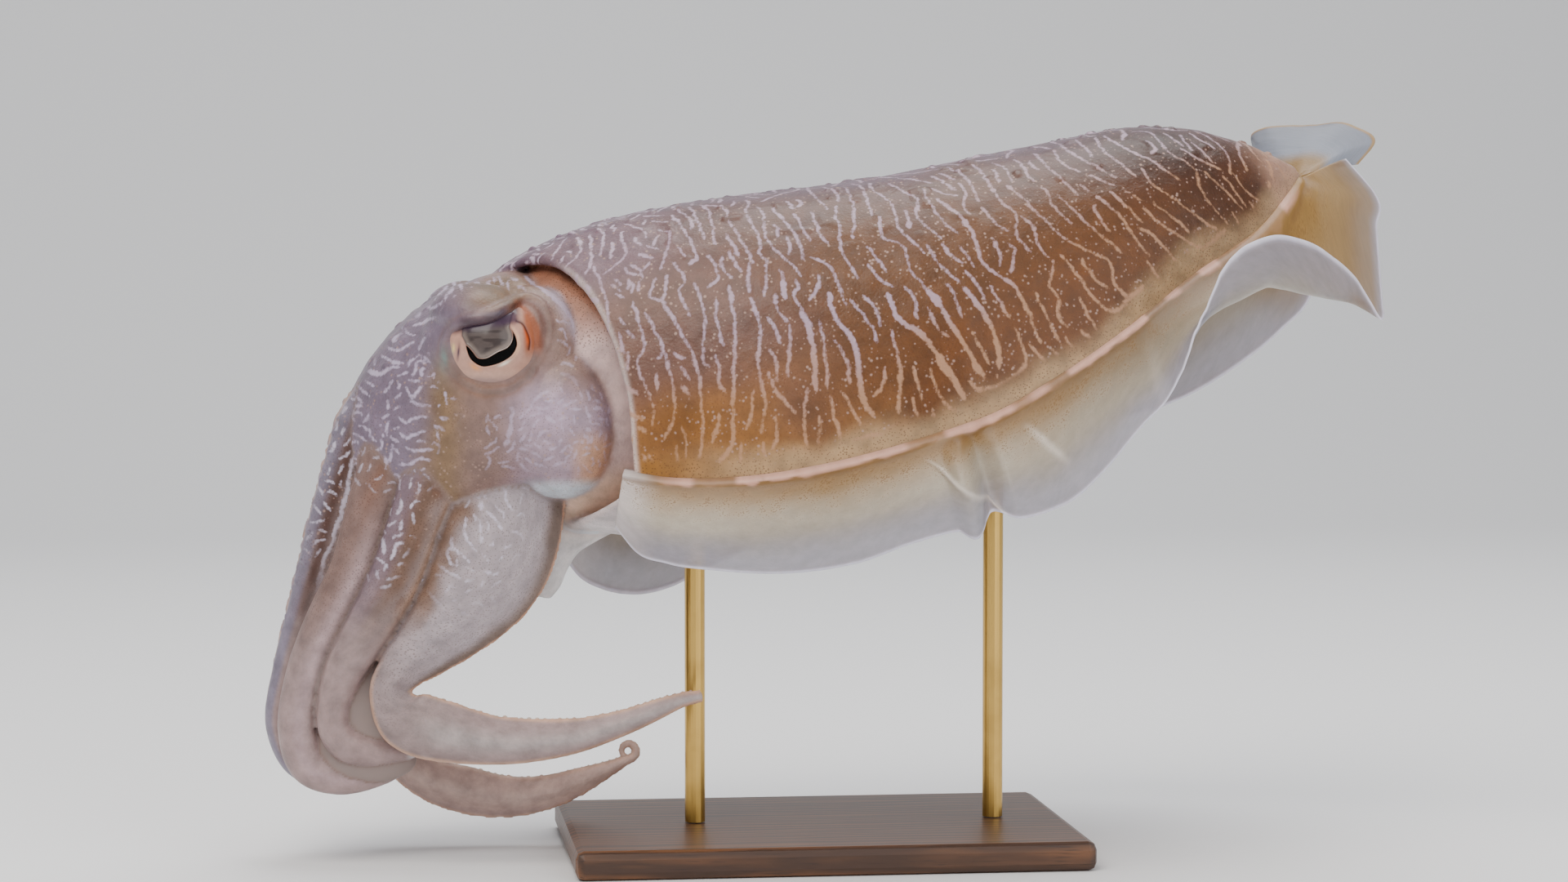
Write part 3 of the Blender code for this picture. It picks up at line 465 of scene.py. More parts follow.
@dataclass
class Head:
    """The neck, the head with its swellings and eyelids, and the funnel."""

    neck: Keys = field(default_factory=lambda: [
        (-36, 150, -36, 84, 31), (-50, 149.5, -50, 79, 31), (-60, 147.5, -57, 78, 30),
        (-66, 146, -62, 79, 29), (-73, 141, -68, 88, 26)])
    sections: Keys = field(default_factory=lambda: [
        (-63, 136, -60, 98, 17), (-66.5, 140.5, -60.5, 93, 27), (-73, 142.5, -63, 88.5, 32.5),
        (-81, 141, -67, 87, 35), (-91, 137, -72, 85.5, 35), (-101.5, 129.5, -77, 83, 32),
        (-109.5, 120, -81, 79, 28), (-114.5, 109.5, -86, 76, 23.5), (-116.5, 101, -94, 76, 17)])
    fullness: float = 2.2
    neck_fullness: float = 2.2
    cheek: tuple[tuple[float, ...], ...] = ((-64.0, 23.0, 106.5), (13.5, 14.0, 18.0))
    brow: tuple[tuple[float, ...], ...] = ((-84.0, 22.5, 132.6), (10.8, 14.0, 7.2))
    orbit: tuple[tuple[float, ...], ...] = ((-80.5, 20.0, 123.5), (17.0, 16.0, 15.5))
    temple: tuple[tuple[float, ...], ...] = ((-71.0, 20.5, 123.5), (12.8, 12.5, 15.5))
    eye: tuple[float, float, float] = (-80.5, 26.0, 124.8)
    eye_radius: float = 12.0
    funnel: Keys = field(default_factory=lambda: [
        (-48, 0, 92, 12), (-57, 0, 86, 10), (-64, 0, 79, 8), (-67, 0, 72, 6.4), (-68.6, 0, 66.8, 5.8),
        (-69.4, 0, 63.4, 4.2)])
    # The funnel's hollow: how many of its 40 rings it takes up, and its radius at the mouth and inside
    hollow_rings: int = 20
    hollow_radii: tuple[float, float] = (3.2, 1.6)
    # Lids: forward and up from the middle of the eye, radius, and how far they stand proud
    upper_lid: Keys = field(default_factory=lambda: [
        (-11.8, -2.4, 0.5, 0.1), (-11.2, 1.2, 0.8, 0.4), (-9.2, 4.4, 1.2, 0.8), (-5.6, 6.3, 1.6, 1.5),
        (-1.0, 7.3, 1.8, 2.0), (3.0, 9.0, 1.7, 1.7), (7.6, 11.3, 1.3, 0.7), (11.4, 10.0, 1.1, 0.4),
        (13.2, 5.6, 0.9, 0.3), (12.6, 0.6, 0.7, 0.2), (10.8, -3.6, 0.5, 0.05)])
    lower_lid: Keys = field(default_factory=lambda: [
        (-11.4, -0.6, 0.5, 0.1), (-10.4, -3.4, 0.7, 0.2), (-8.2, -6.9, 0.8, 0.25), (-4.0, -9.9, 0.8, 0.3),
        (0.6, -10.4, 0.8, 0.3), (5.0, -9.2, 0.8, 0.25), (8.8, -6.2, 0.7, 0.2), (10.9, -2.6, 0.5, 0.1)])

    def rings(self, sections: Keys, sides: int, count: int, fullness: float) -> np.ndarray:
        """Rings through sections given by their upper point, lower point and half width."""
        table = np.array(sections, float)
        keys = np.column_stack([np.arange(len(table)), table])
        turn = np.linspace(0, 2 * math.pi, sides, endpoint=False)
        across, upright = np.sin(turn), np.cos(turn)
        power = 2 / fullness
        made = []
        for row in smooth(keys, np.linspace(0, len(table) - 1, count)):
            top, low = np.array([row[0], 0, row[1]]), np.array([row[2], 0, row[3]])
            side = row[4] * np.sign(across) * np.abs(across) ** power
            lift = np.sign(upright) * np.abs(upright) ** power
            made.append((top + low) / 2 + lift[:, None] * (top - low) / 2 + side[:, None] * (0, 1, 0))
        return np.array(made)

    def lid(self, keys: Keys, side: int, under: BVHTree) -> Shell:
        """A soft fold of skin along one edge of the eye.

        Args:
            keys: The fold's places, radii and rises.
            side: The sign of its side.
            under: The surface that it lies on.

        Returns:
            The fold.
        """
        rows = spline([(x, 0.0, z, r, rise) for x, z, r, rise in keys], 80)
        ball = np.sqrt(np.maximum(self.eye_radius**2 - rows[:, 0]**2 - rows[:, 2]**2, 0)) + self.eye[1]
        for row, height in zip(rows, ball):
            place = Vector((self.eye[0] + row[0], side * 90.0, self.eye[2] + row[2]))
            hit = under.ray_cast(place, Vector((0, -side, 0)))[0]
            height = max(height if height > self.eye[1] else 0.0, abs(hit.y))
            row[:3] = (place.x, side * (height + row[4] - row[3]), place.z)
        return tube_shell(round_rings(rows[:, :3], rows[:, 3], 20), Region.LID)

    def funnel_shell(self) -> Shell:
        """The funnel, open at its mouth."""
        rows = spline(self.funnel, 40)
        rings = round_rings(rows[:, :3], rows[:, 3], 64)
        # The same path from the mouth back
        back = rows[::-1]
        inner = round_rings(back[:, :3], back[:, 3], 64)[1:self.hollow_rings + 1]
        back = back[1:self.hollow_rings + 1]
        middle = back[:, None, :3]
        share = np.linspace(*self.hollow_radii, self.hollow_rings) / back[:, 3]
        return tube_shell(np.concatenate([rings, middle + (inner - middle) * share[:, None, None]]),
                          Region.FUNNEL)

    def shells(self) -> list[Shell]:
        """The neck, the head and everything that is joined to it."""
        made = [tube_shell(self.rings(self.neck, 160, 50, self.neck_fullness), Region.NECK),
                self.funnel_shell(),
                tube_shell(self.rings(self.sections, 160, 90, self.fullness), Region.HEAD)]
        for side in Side:
            for (x, y, z), radii in (self.cheek, self.brow, self.orbit, self.temple):
                made.append(oval_shell((x, side.value * y, z), radii, Region.HEAD))
        points, faces = joined([(shell.points, shell.faces) for shell in made[2:]])
        under = BVHTree.FromPolygons(points.tolist(), faces.tolist())
        for side in Side:
            made += [self.lid(keys, side.value, under) for keys in (self.upper_lid, self.lower_lid)]
        return made


@dataclass
class Arm:
    """One arm: its path with half width and half depth, and the side that carries the suckers."""

    number: int
    side: int
    path: Keys
    oral: tuple[float, float, float]
    curled: bool = False
    stations: int = 260
    sides: int = 56
    oral_flatness: float = 0.62
    keel_thinning: float = 0.72
    twist: Keys = field(default_factory=lambda: [(0, 0), (0.26, 0), (0.5, 180), (1, 180)])
    curl_radius: float = 2.3
    curl_turn: float = math.radians(330)

    def __post_init__(self) -> None:
        """Works out the arm's rows and their directions."""
        points = [(x, y * (1 if y * self.side > 0 else -1), z, w, d) for x, y, z, w, d in self.path]
        if self.curled:
            points += self.curl(points[-1])
        self.rows = spline(points, self.stations)
        facing = np.array(self.oral) * (1, -self.side, 1)
        self.along, inward, across = path_frames(self.rows[:, :3], facing)
        across = across * -self.side
        if self.curled:
            turn = np.radians(smooth(self.twist, np.linspace(0, 1, self.stations)))[:, None]
            inward, across = (inward * np.cos(turn) + across * np.sin(turn),
                              across * np.cos(turn) - inward * np.sin(turn))
        self.inward, self.across = inward, across
        self.run = distances(self.rows[:, :3])

    def curl(self, start: tuple[float, ...]) -> Keys:
        """The rolled tip, as further rows of the path."""
        rows = []
        for share in np.linspace(0, 1, 12)[1:]:
            turn = self.curl_turn * share
            radius = self.curl_radius * (1 - 0.3 * share)
            taper = 1 - 0.4 * share
            rows.append((start[0] + radius * math.sin(turn), start[1],
                         start[2] + self.curl_radius - radius * math.cos(turn), start[3] * taper,
                         start[4] * taper))
        return rows

    def shell(self) -> Shell:
        """The arm's skin: flat towards the suckers, rounded outside, thin at the fourth arm's keel."""
        turn = np.linspace(0, 2 * math.pi, self.sides, endpoint=False)
        depth = np.sin(turn) * np.where(np.sin(turn) > 0, self.oral_flatness, 1.0)
        if self.number == 4:
            depth = depth * (1 - self.keel_thinning * np.maximum(0, np.cos(turn)))
        rows = self.rows
        rings = (rows[:, None, :3] + (rows[:, 3, None] * np.cos(turn))[..., None] * self.across[:, None]
                 + (rows[:, 4, None] * depth)[..., None] * self.inward[:, None])
        return tube_shell(rings, Region.ARM, self.number)

    def place(self, points: np.ndarray, near: np.ndarray) -> dict[str, np.ndarray]:
        """Where points lie along the arm and round it.

        Args:
            points: Points on the arm's skin.
            near: The number of the row that each is nearest to.

        Returns:
            The distance from the root, the angle round the arm, the place from its rear to its
            front edge as -1 to 1, the place from its inner to its outer face as -1 to 1, and the
            half width between the edges.
        """
        offset = points - self.rows[near, :3]
        along, across, inward = self.along[near], self.across[near], self.inward[near]
        wide = np.einsum("ij,ij->i", offset, across) / self.rows[near, 3]
        deep = np.einsum("ij,ij->i", offset, inward) / self.rows[near, 4]
        edge = unit(np.stack([along[:, 2], 0 * wide, -along[:, 0]], axis=1))
        half = np.hypot(self.rows[near, 3] * np.einsum("ij,ij->i", across, edge),
                        self.rows[near, 4] * np.einsum("ij,ij->i", inward, edge))
        return {"run": self.run[near] + np.einsum("ij,ij->i", offset, along),
                "turn": np.arctan2(deep, wide), "front": np.einsum("ij,ij->i", offset, edge) / half,
                "outer": offset[:, 1] * self.side / self.rows[near, 4], "half": half}

    def clearance(self, points: np.ndarray) -> np.ndarray:
        """How far points lie outside the arm, in millimetres."""
        rows = self.rows[::3]
        gap = np.empty(len(points))
        for part in np.array_split(np.arange(len(points)), max(1, len(points) // 20000)):
            apart = ((points[part, None] - rows[None, :, :3]) ** 2).sum(2)
            near = apart.argmin(1) * 3
            offset = points[part] - self.rows[near, :3]
            wide = np.einsum("ij,ij->i", offset, self.across[near]) / self.rows[near, 3]
            deep = np.einsum("ij,ij->i", offset, self.inward[near]) / self.rows[near, 4]
            gap[part] = (np.hypot(wide, deep) - 1) * self.rows[near, 3:].mean(1)
        return gap


ARM_PATHS: dict[int, Keys] = {
    1: [(-101, -6.6, 117, 6.5, 5.6), (-109.6, -7.2, 107, 7.2, 5.6), (-114, -7, 95, 7, 5.2),
        (-118.2, -6.4, 82, 6.3, 4.7), (-123.8, -5.6, 62, 5.3, 4.2), (-128.5, -4.8, 46, 4.4, 3.7),
        (-130.8, -4.4, 33, 3.6, 3.2), (-126.5, -4.2, 23, 2.9, 2.7), (-117, -4.2, 20.4, 2.2, 2),
        (-107.5, -4.2, 22, 0.8, 0.8)],
    2: [(-94, -14, 112, 6.5, 6), (-101, -15.5, 105, 7.4, 6.2), (-106.5, -15.5, 90, 7, 5.8),
        (-112.5, -14.5, 71, 6.3, 5.3), (-119.6, -13, 57, 5.8, 4.8), (-124, -12, 46, 5.3, 4.2),
        (-126.4, -11.3, 33, 4.9, 3.6), (-124, -10.7, 23.9, 4.4, 3.3), (-116.5, -10.3, 20.7, 3.8, 3),
        (-106, -10, 21.8, 2.6, 2.2), (-99, -9.6, 24, 0.9, 0.9)],
    3: [(-86, -17, 108, 7.5, 5.5), (-90.5, -20, 102, 8.4, 5.5), (-96, -20.5, 87, 7.6, 5.2),
        (-101.9, -19.5, 71, 7.0, 5), (-109.3, -17.6, 57.5, 6.2, 4.5), (-114.6, -16.4, 49, 5.1, 4.1),
        (-117.9, -15.2, 40, 3.9, 3.6), (-118, -14.6, 33.7, 3.8, 3.4), (-115.2, -14.2, 29.8, 4, 3.4),
        (-110.5, -14, 28.2, 3.6, 3.1), (-104.6, -13.8, 27.6, 2.6, 2.4), (-99.4, -13.6, 27.6, 1.6, 1.5),
        (-96.6, -13.5, 28.2, 0.8, 0.8)],
    4: [(-75.5, -16.5, 102, 9, 5.5), (-76.2, -19.5, 95, 12, 5.5), (-76.8, -20.5, 88.4, 14.2, 5.2),
        (-79.2, -21, 79.5, 15.2, 5), (-82, -20.8, 72.2, 15, 4.8), (-86.2, -20.3, 65, 13.2, 4.6),
        (-91, -19.8, 58.8, 10.6, 4.4), (-96.5, -19.2, 52.9, 8, 4.3), (-101.4, -18.8, 48.2, 6, 4.2),
        (-104.4, -18.6, 43.6, 4.9, 4.1), (-103.6, -18.9, 39.4, 5.7, 4), (-101.2, -19.4, 36.5, 7.2, 3.8),
        (-97, -20.1, 34.6, 7.8, 3.6), (-90.5, -21, 33, 7.4, 3.4), (-81, -21.6, 31.2, 6.2, 3),
        (-72.6, -22, 30.9, 5.5, 2.8), (-61.2, -22, 31.8, 4.4, 2.5), (-49.8, -22, 34.7, 3.3, 2.1),
        (-41.9, -22, 37.6, 2.7, 1.8), (-35.5, -22, 40.0, 2.0, 1.5), (-30.4, -22, 41.0, 1.6, 1.4)],
}
RIGHT_FOURTH_PATH: Keys = [
    (-75.5, 16.5, 102, 9, 5.5), (-79, 20, 93, 13.5, 5.5), (-82, 21, 81.5, 15.5, 5),
    (-86.5, 21, 68, 13.5, 4.6), (-96, 20.5, 54, 9.5, 4.2), (-102.5, 20, 41, 5.8, 3.8),
    (-104.4, 19.8, 30, 4.6, 3.6), (-101.6, 19.2, 21.4, 4.5, 3.5), (-94, 18.2, 16, 5.5, 3.3),
    (-85.5, 17.2, 13.4, 6.1, 3.2),
    (-77.7, 16.4, 11.9, 5.6, 3), (-70.8, 15.6, 11.9, 5, 2.8), (-64, 14.8, 13.2, 4.4, 2.5),
    (-57.2, 14, 15.6, 3.6, 2.2), (-50.6, 12.8, 18.6, 2.3, 1.8), (-45.5, 12.2, 21.0, 1.4, 1.3)]
# Webs of skin that close the gaps between the arms' ends: middle and radii
WEBS: list[tuple[tuple[float, ...], tuple[float, ...]]] = [
    ((-108.5, 13.5, 39.0), (8.5, 2.4, 13.0)), ((-119.0, 10.5, 28.5), (8.0, 2.4, 9.0)),
    ((-109.0, 12.0, 25.5), (11.0, 2.4, 5.5))]
ARM_ORAL = {1: (0.8, 0.6, 0.0), 2: (0.3, 0.95, 0.0), 3: (-0.2, 0.98, 0.0), 4: (0.0, 1.0, 0.0)}


def all_arms() -> list[Arm]:
    """The eight arms."""
    arms = []
    for side in Side:
        for number, path in ARM_PATHS.items():
            curled = number == 4 and side is Side.RIGHT
            path = RIGHT_FOURTH_PATH if curled else path
            arms.append(Arm(number, side.value, path, ARM_ORAL[number], curled))
    return arms


@dataclass
class Fin:
    """One fin: a thin rippled sheet from the mantle's side to a free edge."""

    mantle: Mantle
    side: int
    keys: Keys
    front: float = 4.0
    end: float = 187.2
    sunk: float = 2.5
    root_half: float = 1.15
    edge_half: float = 0.3
    stations: int = 620
    steps: int = 60

    def lines(self) -> list[np.ndarray]:
        """The fin's sunken root, root, edge and bow at places spread over it."""
        fine = self.end - (self.end - self.front) * np.cos(np.linspace(0, math.pi / 2, 900)) ** 1.5
        width, line = smooth(self.mantle.half_width, fine), smooth(self.mantle.fin_line, fine)
        root = np.column_stack([fine, width, line])
        keys = smooth(self.keys, fine)
        bow = np.column_stack([np.zeros(len(fine)), keys[:, 3], keys[:, 4]])
        heading = unit(np.gradient(root[:, :2], axis=0))
        outward = np.column_stack([-heading[:, 1], heading[:, 0], np.zeros(len(fine))])
        steps = (np.linalg.norm(np.diff(root, axis=0), axis=1)
                 + np.linalg.norm(np.diff(keys[:, :3], axis=0), axis=1))
        run = np.concatenate([[0], np.cumsum(steps)])
        even = np.linspace(0, run[-1], self.stations)
        lines = [np.stack([np.interp(even, run, line[:, k]) for k in range(3)], axis=1)
                 for line in (root - outward * self.sunk, root, keys[:, :3], bow)]
        return [line * (1, self.side, 1) for line in lines]

    def sheet(self) -> tuple[np.ndarray, np.ndarray, np.ndarray]:
        """The fin's middle sheet.

        Returns:
            Its points on the mantle's axes, their normals, and the share of the way from root to edge.
        """
        sunk, root, edge, bow = self.lines()
        middle = (root + edge) / 2 + bow
        share = np.linspace(0, 1, self.steps)
        columns = [sunk] + [root * (1 - t) ** 2 + middle * 2 * t * (1 - t) + edge * t**2 for t in share]
        points = np.stack(columns, axis=1)
        return points, unit(np.cross(np.gradient(points, axis=1), np.gradient(points, axis=0))), share

    def build(self) -> tuple[np.ndarray, np.ndarray, dict[str, np.ndarray]]:
        """The fin as a closed thin sheet.

        Returns:
            Its points, its faces, and for each point its place along the mantle, its share of the
            way to the edge, its distance along the fin, its face (1 upper, -1 lower) and its side.
        """
        points, normal, share = self.sheet()
        count, width = points.shape[:2]
        reach = np.concatenate([[0.0], share])
        edge_run, root_run = distances(points[:, -1]), distances(points[:, 1])
        run = root_run[:, None] * (1 - reach) + edge_run[:, None] * reach
        flat = np.stack([edge_run[:, None] + 0 * reach, 0 * run, 0 * run], axis=2).reshape(-1, 3)
        ripple = noise(flat, 9.0, 3 + self.side).reshape(count, width)
        crease = noise(flat, 2.2, 7 + self.side).reshape(count, width)
        along = np.repeat(points[:, 1, 0], width).reshape(count, width)
        ridge = (fin_crease(along, reach) * (0.6, 0.35)).sum(-1) if self.side < 0 else 0.0
        points = points + normal * (ripple * 0.55 * reach**3 + crease * 0.14 * ease(0.55, 1.0, reach)
                                    + ridge)[..., None]
        half = np.interp(reach, [0, 0.06, 0.25, 0.9, 0.97, 1],
                         [1.7, self.root_half, 0.8, self.edge_half + 0.12, self.edge_half, 0.1])
        upper = self.mantle.to_model((points + normal * half[None, :, None]).reshape(-1, 3))
        lower = self.mantle.to_model((points - normal * half[None, :, None]).reshape(-1, 3))
        top = sheet_faces(count, width)
        total = count * width
        loop = np.concatenate([np.arange(width - 1), (np.arange(count - 1) * width) + width - 1,
                               (count - 1) * width + np.arange(width - 1, 0, -1),
                               np.arange(count - 1, 0, -1) * width])
        after = np.roll(loop, -1)
        faces = np.vstack([top, top[:, ::-1] + total,
                           np.stack([after, loop, loop + total, after + total], 1)])
        both = {"along": along.ravel(), "reach": np.tile(reach, count), "run": run.ravel()}
        fields = {name: np.tile(values, 2) for name, values in both.items()}
        fields["face"] = np.repeat([1.0, -1.0], total)
        fields["side"] = np.full(2 * total, float(self.side))
        return np.vstack([upper, lower]), faces, fields


def fin_crease(along: np.ndarray, reach: np.ndarray) -> np.ndarray:
    """How strongly two creases run over the left fin, each slanting back from the root to the edge."""
    creases = [bell(0, width, along - start - lean * reach) * ease(0.12, 0.4, reach)
               for start, lean, width in ((70.0, 17.0, 0.9), (95.0, 13.0, 1.4))]
    shown = [np.ones_like(along), ease(0.75, 0.55, reach + 0 * along)]
    return np.stack(creases, axis=-1) * np.stack(shown, axis=-1)


def root_line_gaps(along: np.ndarray) -> np.ndarray:
    """How strong the pink line along the fin's root is: 0 in its gaps."""
    return ease(-0.35, 0.05, line_noise(along, 5.5, 23))


FIN_KEYS: dict[Side, Keys] = {
    Side.LEFT: [
        (4, -1, 43, -13, 1, 0), (8, 2, 46.5, -19.5, 2, 0), (14, 8, 50, -23.5, 3, 0),
        (24, 18, 53, -27.5, 3, 0), (36, 32, 55, -31.8, 3, 0), (52, 50, 57, -33.9, 3, 0),
        (66, 64, 58, -32.6, 3, 0), (76, 74.5, 60, -32.4, 4, 0), (80, 78, 62.5, -34.8, 8, 0),
        (84, 83, 56.5, -30.6, -1, 0), (90, 89.5, 60, -33.2, 3, 0), (100, 99.5, 60, -32.7, 4, 0),
        (111, 111, 57, -28, 4, 0), (122, 123.5, 54, -19.8, 3, -1), (129, 131, 52, -15.5, 3, -3),
        (136, 138.5, 52.5, -6, 4, -5), (142, 144.5, 52, 2.4, 6, -9), (149, 152, 50, 11.3, 8, -16),
        (155, 159.5, 48, 14.7, 8.5, -19), (160, 166.4, 45, 15, 8.4, -19), (165, 173, 41, 12.6, 8, -22),
        (170, 179.3, 37, 8.4, 7, -25), (175, 187, 31, -0.6, 5, -22), (179, 193.3, 25, -12.4, 4, -6),
        (182, 196.5, 18, -5, 3, -3), (184.5, 200.5, 11.5, 8.3, 2, 0), (186.5, 202.7, 7, 18, 1, 0),
        (187.2, 199, 3.6, 26.5, 0, 1)],
    Side.RIGHT: [
        (4, -11, 38, -23, 1, 0), (8, -8.5, 42, -30.5, 2, 0), (13, -3, 46, -36, 2, 0),
        (19, 5, 50, -39.8, 3, 0), (26, 14, 53, -40.6, 3, 0), (33, 24, 56, -39, 4, 0),
        (45, 42, 60, -36, 5, 0), (60, 60, 65, -33, 5, 0), (80, 82, 69, -30, 5, 0),
        (100, 103, 68, -28, 5, 0), (118, 123, 61, -27, 4, 0), (130, 139, 52, -27.5, 3, -1),
        (140, 153, 44, -26, 2, -2), (152, 167.5, 36, -21, 2, -2), (163, 182, 31, -13.5, 2, -2),
        (171, 191.5, 27, -5, 3, -3), (174.5, 198, 30, 5, 3, -4), (177, 198, 32, 17, 3, -4),
        (179.5, 192, 30, 29, 3, -2), (181.5, 184.5, 26, 36.8, 3, 2), (183, 188.5, 22.5, 38, 2, 3),
        (184.6, 197, 18, 36.2, 1, 3), (186, 207, 13, 33.4, 0, 3), (186.8, 210.5, 8.8, 27.8, 0, 3),
        (187.2, 204.3, 5.4, 24, 0, 2)],
}


# Materials


class Graph:
    """The node tree of one material."""

    def __init__(self, name: str) -> None:
        """Starts a material with its shader and output."""
        self.material = bpy.data.materials.new(name)
        self.material.use_nodes = True
        self.tree = self.material.node_tree
        self.shader = self.tree.nodes["Principled BSDF"]

    def add(self, kind: str, links: dict | None = None, out: int | str = 0,
            **settings: object) -> bpy.types.NodeSocket:
        """Adds one node with its settings and links.

        Args:
            kind: The node's kind, without its first word.
            links: Inputs by name or number, each with a value or another node's output.
            out: The output that is wanted, by name or number.
            **settings: The node's own properties.

        Returns:
            The wanted output.
        """
        node = self.tree.nodes.new("ShaderNode" + kind)
        for name, value in settings.items():
            setattr(node, name, value)
        self.link(node, links or {})
        return node.outputs[out]

    def link(self, node: bpy.types.Node, links: dict) -> None:
        """Sets or links a node's inputs, by name or number."""
        for name, value in links.items():
            if isinstance(value, bpy.types.NodeSocket):
                self.tree.links.new(value, node.inputs[name])
            else:
                node.inputs[name].default_value = value


@dataclass(frozen=True)
class MoistSkin:
    """Living skin kept moist: soft and translucent, with a thin wet film over fine relief.

    It gives the eye mottled brown with soft pale lines, pale and dark dots, and small highlights.
    """

    name: str = "moist_mottled_skin"
    dot: str = "#a98a7c"
    speckle: str = "#3f200e"
    ior: float = 1.38
    roughness: float = 0.42
    # Real sizes in millimetres
    dot_spacing: float = 1.25
    speckle_spacing: float = 0.6
    mottle_size: float = 5.0
    mark_blur: float = 0.2
    mark_waver: float = 0.2
    wrinkle_depth: float = 0.4
    patches_per_mm: float = 0.35
    wavers_per_mm: float = 1.1
    wrinkles_per_mm: float = 1.5

    def build(self) -> bpy.types.Material:
        """Makes the material."""
        g = Graph(self.name)
        tone = g.add("Attribute", attribute_name="tone")
        mark_tone = g.add("Attribute", attribute_name="mark_tone")
        place = g.add("Attribute", out="Vector", attribute_name="place")
        mark, mark_share, dots, grain = (g.add("Attribute", out="Fac", attribute_name=name)
                                         for name in ("mark", "mark_share", "dots", "grain"))

        mottle = g.add("TexNoise", {"Vector": place, "Scale": 1 / self.mottle_size, "Detail": 4.0,
                                    "Roughness": 0.62})
        shade = g.add("MapRange", {"Value": mottle, "From Min": 0.3, "From Max": 0.7, "To Min": 0.74,
                                   "To Max": 1.22})
        colour = g.add("VectorMath", {0: tone, "Scale": shade}, operation="SCALE")

        speck = g.add("TexVoronoi", {"Vector": place, "Scale": 1 / self.speckle_spacing})
        speck_edge = g.add("Math", {0: mottle, 1: 0.55}, operation="MULTIPLY")
        speck_gap = g.add("Math", {0: speck_edge, 1: speck}, operation="SUBTRACT")
        speck_mask = g.add("MapRange", {"Value": speck_gap, "From Min": -0.05, "From Max": 0.08})
        speck_mask = g.add("Math", {0: speck_mask, 1: grain}, operation="MULTIPLY")
        colour = g.add("Mix", {0: speck_mask, 6: colour, 7: rgba(self.speckle)}, 2, data_type="RGBA")

        patch = g.add("TexNoise", {"Vector": place, "Scale": self.patches_per_mm, "Detail": 2.0})
        dot = g.add("TexVoronoi", {"Vector": place, "Scale": 1 / self.dot_spacing})
        dot_edge = g.add("MapRange", {"Value": patch, "From Min": 0.36, "From Max": 0.66, "To Min": 0.0,
                                      "To Max": 0.3})
        dot_gap = g.add("Math", {0: dot_edge, 1: dot}, operation="SUBTRACT")
        dot_mask = g.add("MapRange", {"Value": dot_gap, "From Min": -0.1, "From Max": 0.14})
        dot_mask = g.add("Math", {0: dot_mask, 1: dots}, operation="MULTIPLY")
        colour = g.add("Mix", {0: dot_mask, 6: colour, 7: rgba(self.dot)}, 2, data_type="RGBA")

        waver = g.add("TexNoise", {"Vector": place, "Scale": self.wavers_per_mm, "Detail": 2.0})
        waver = g.add("MapRange", {"Value": waver, "From Min": 0.3, "From Max": 0.7,
                                   "To Min": -self.mark_waver, "To Max": self.mark_waver})
        depth = g.add("Math", {0: mark, 1: waver}, operation="ADD")
        line = g.add("MapRange", {"Value": depth, "From Min": -self.mark_blur, "From Max": self.mark_blur})
        line = g.add("Math", {0: line, 1: mark_share}, operation="MULTIPLY")
        colour = g.add("Mix", {0: line, 6: colour, 7: mark_tone}, 2, data_type="RGBA")

        fine = g.add("TexNoise", {"Vector": place, "Scale": self.wrinkles_per_mm, "Detail": 3.0})
        bump = g.add("Bump", {"Strength": 0.4, "Distance": self.wrinkle_depth * MM, "Height": fine})
        g.link(g.shader, {"Base Color": colour, "Normal": bump, "Roughness": self.roughness, "IOR": self.ior,
                          "Subsurface Weight": 0.12, "Subsurface Radius": (1.0, 0.45, 0.3),
                          "Subsurface Scale": 1.2 * MM, "Coat Weight": 0.2, "Coat Roughness": 0.2,
                          "Coat IOR": 1.33})
        return g.material


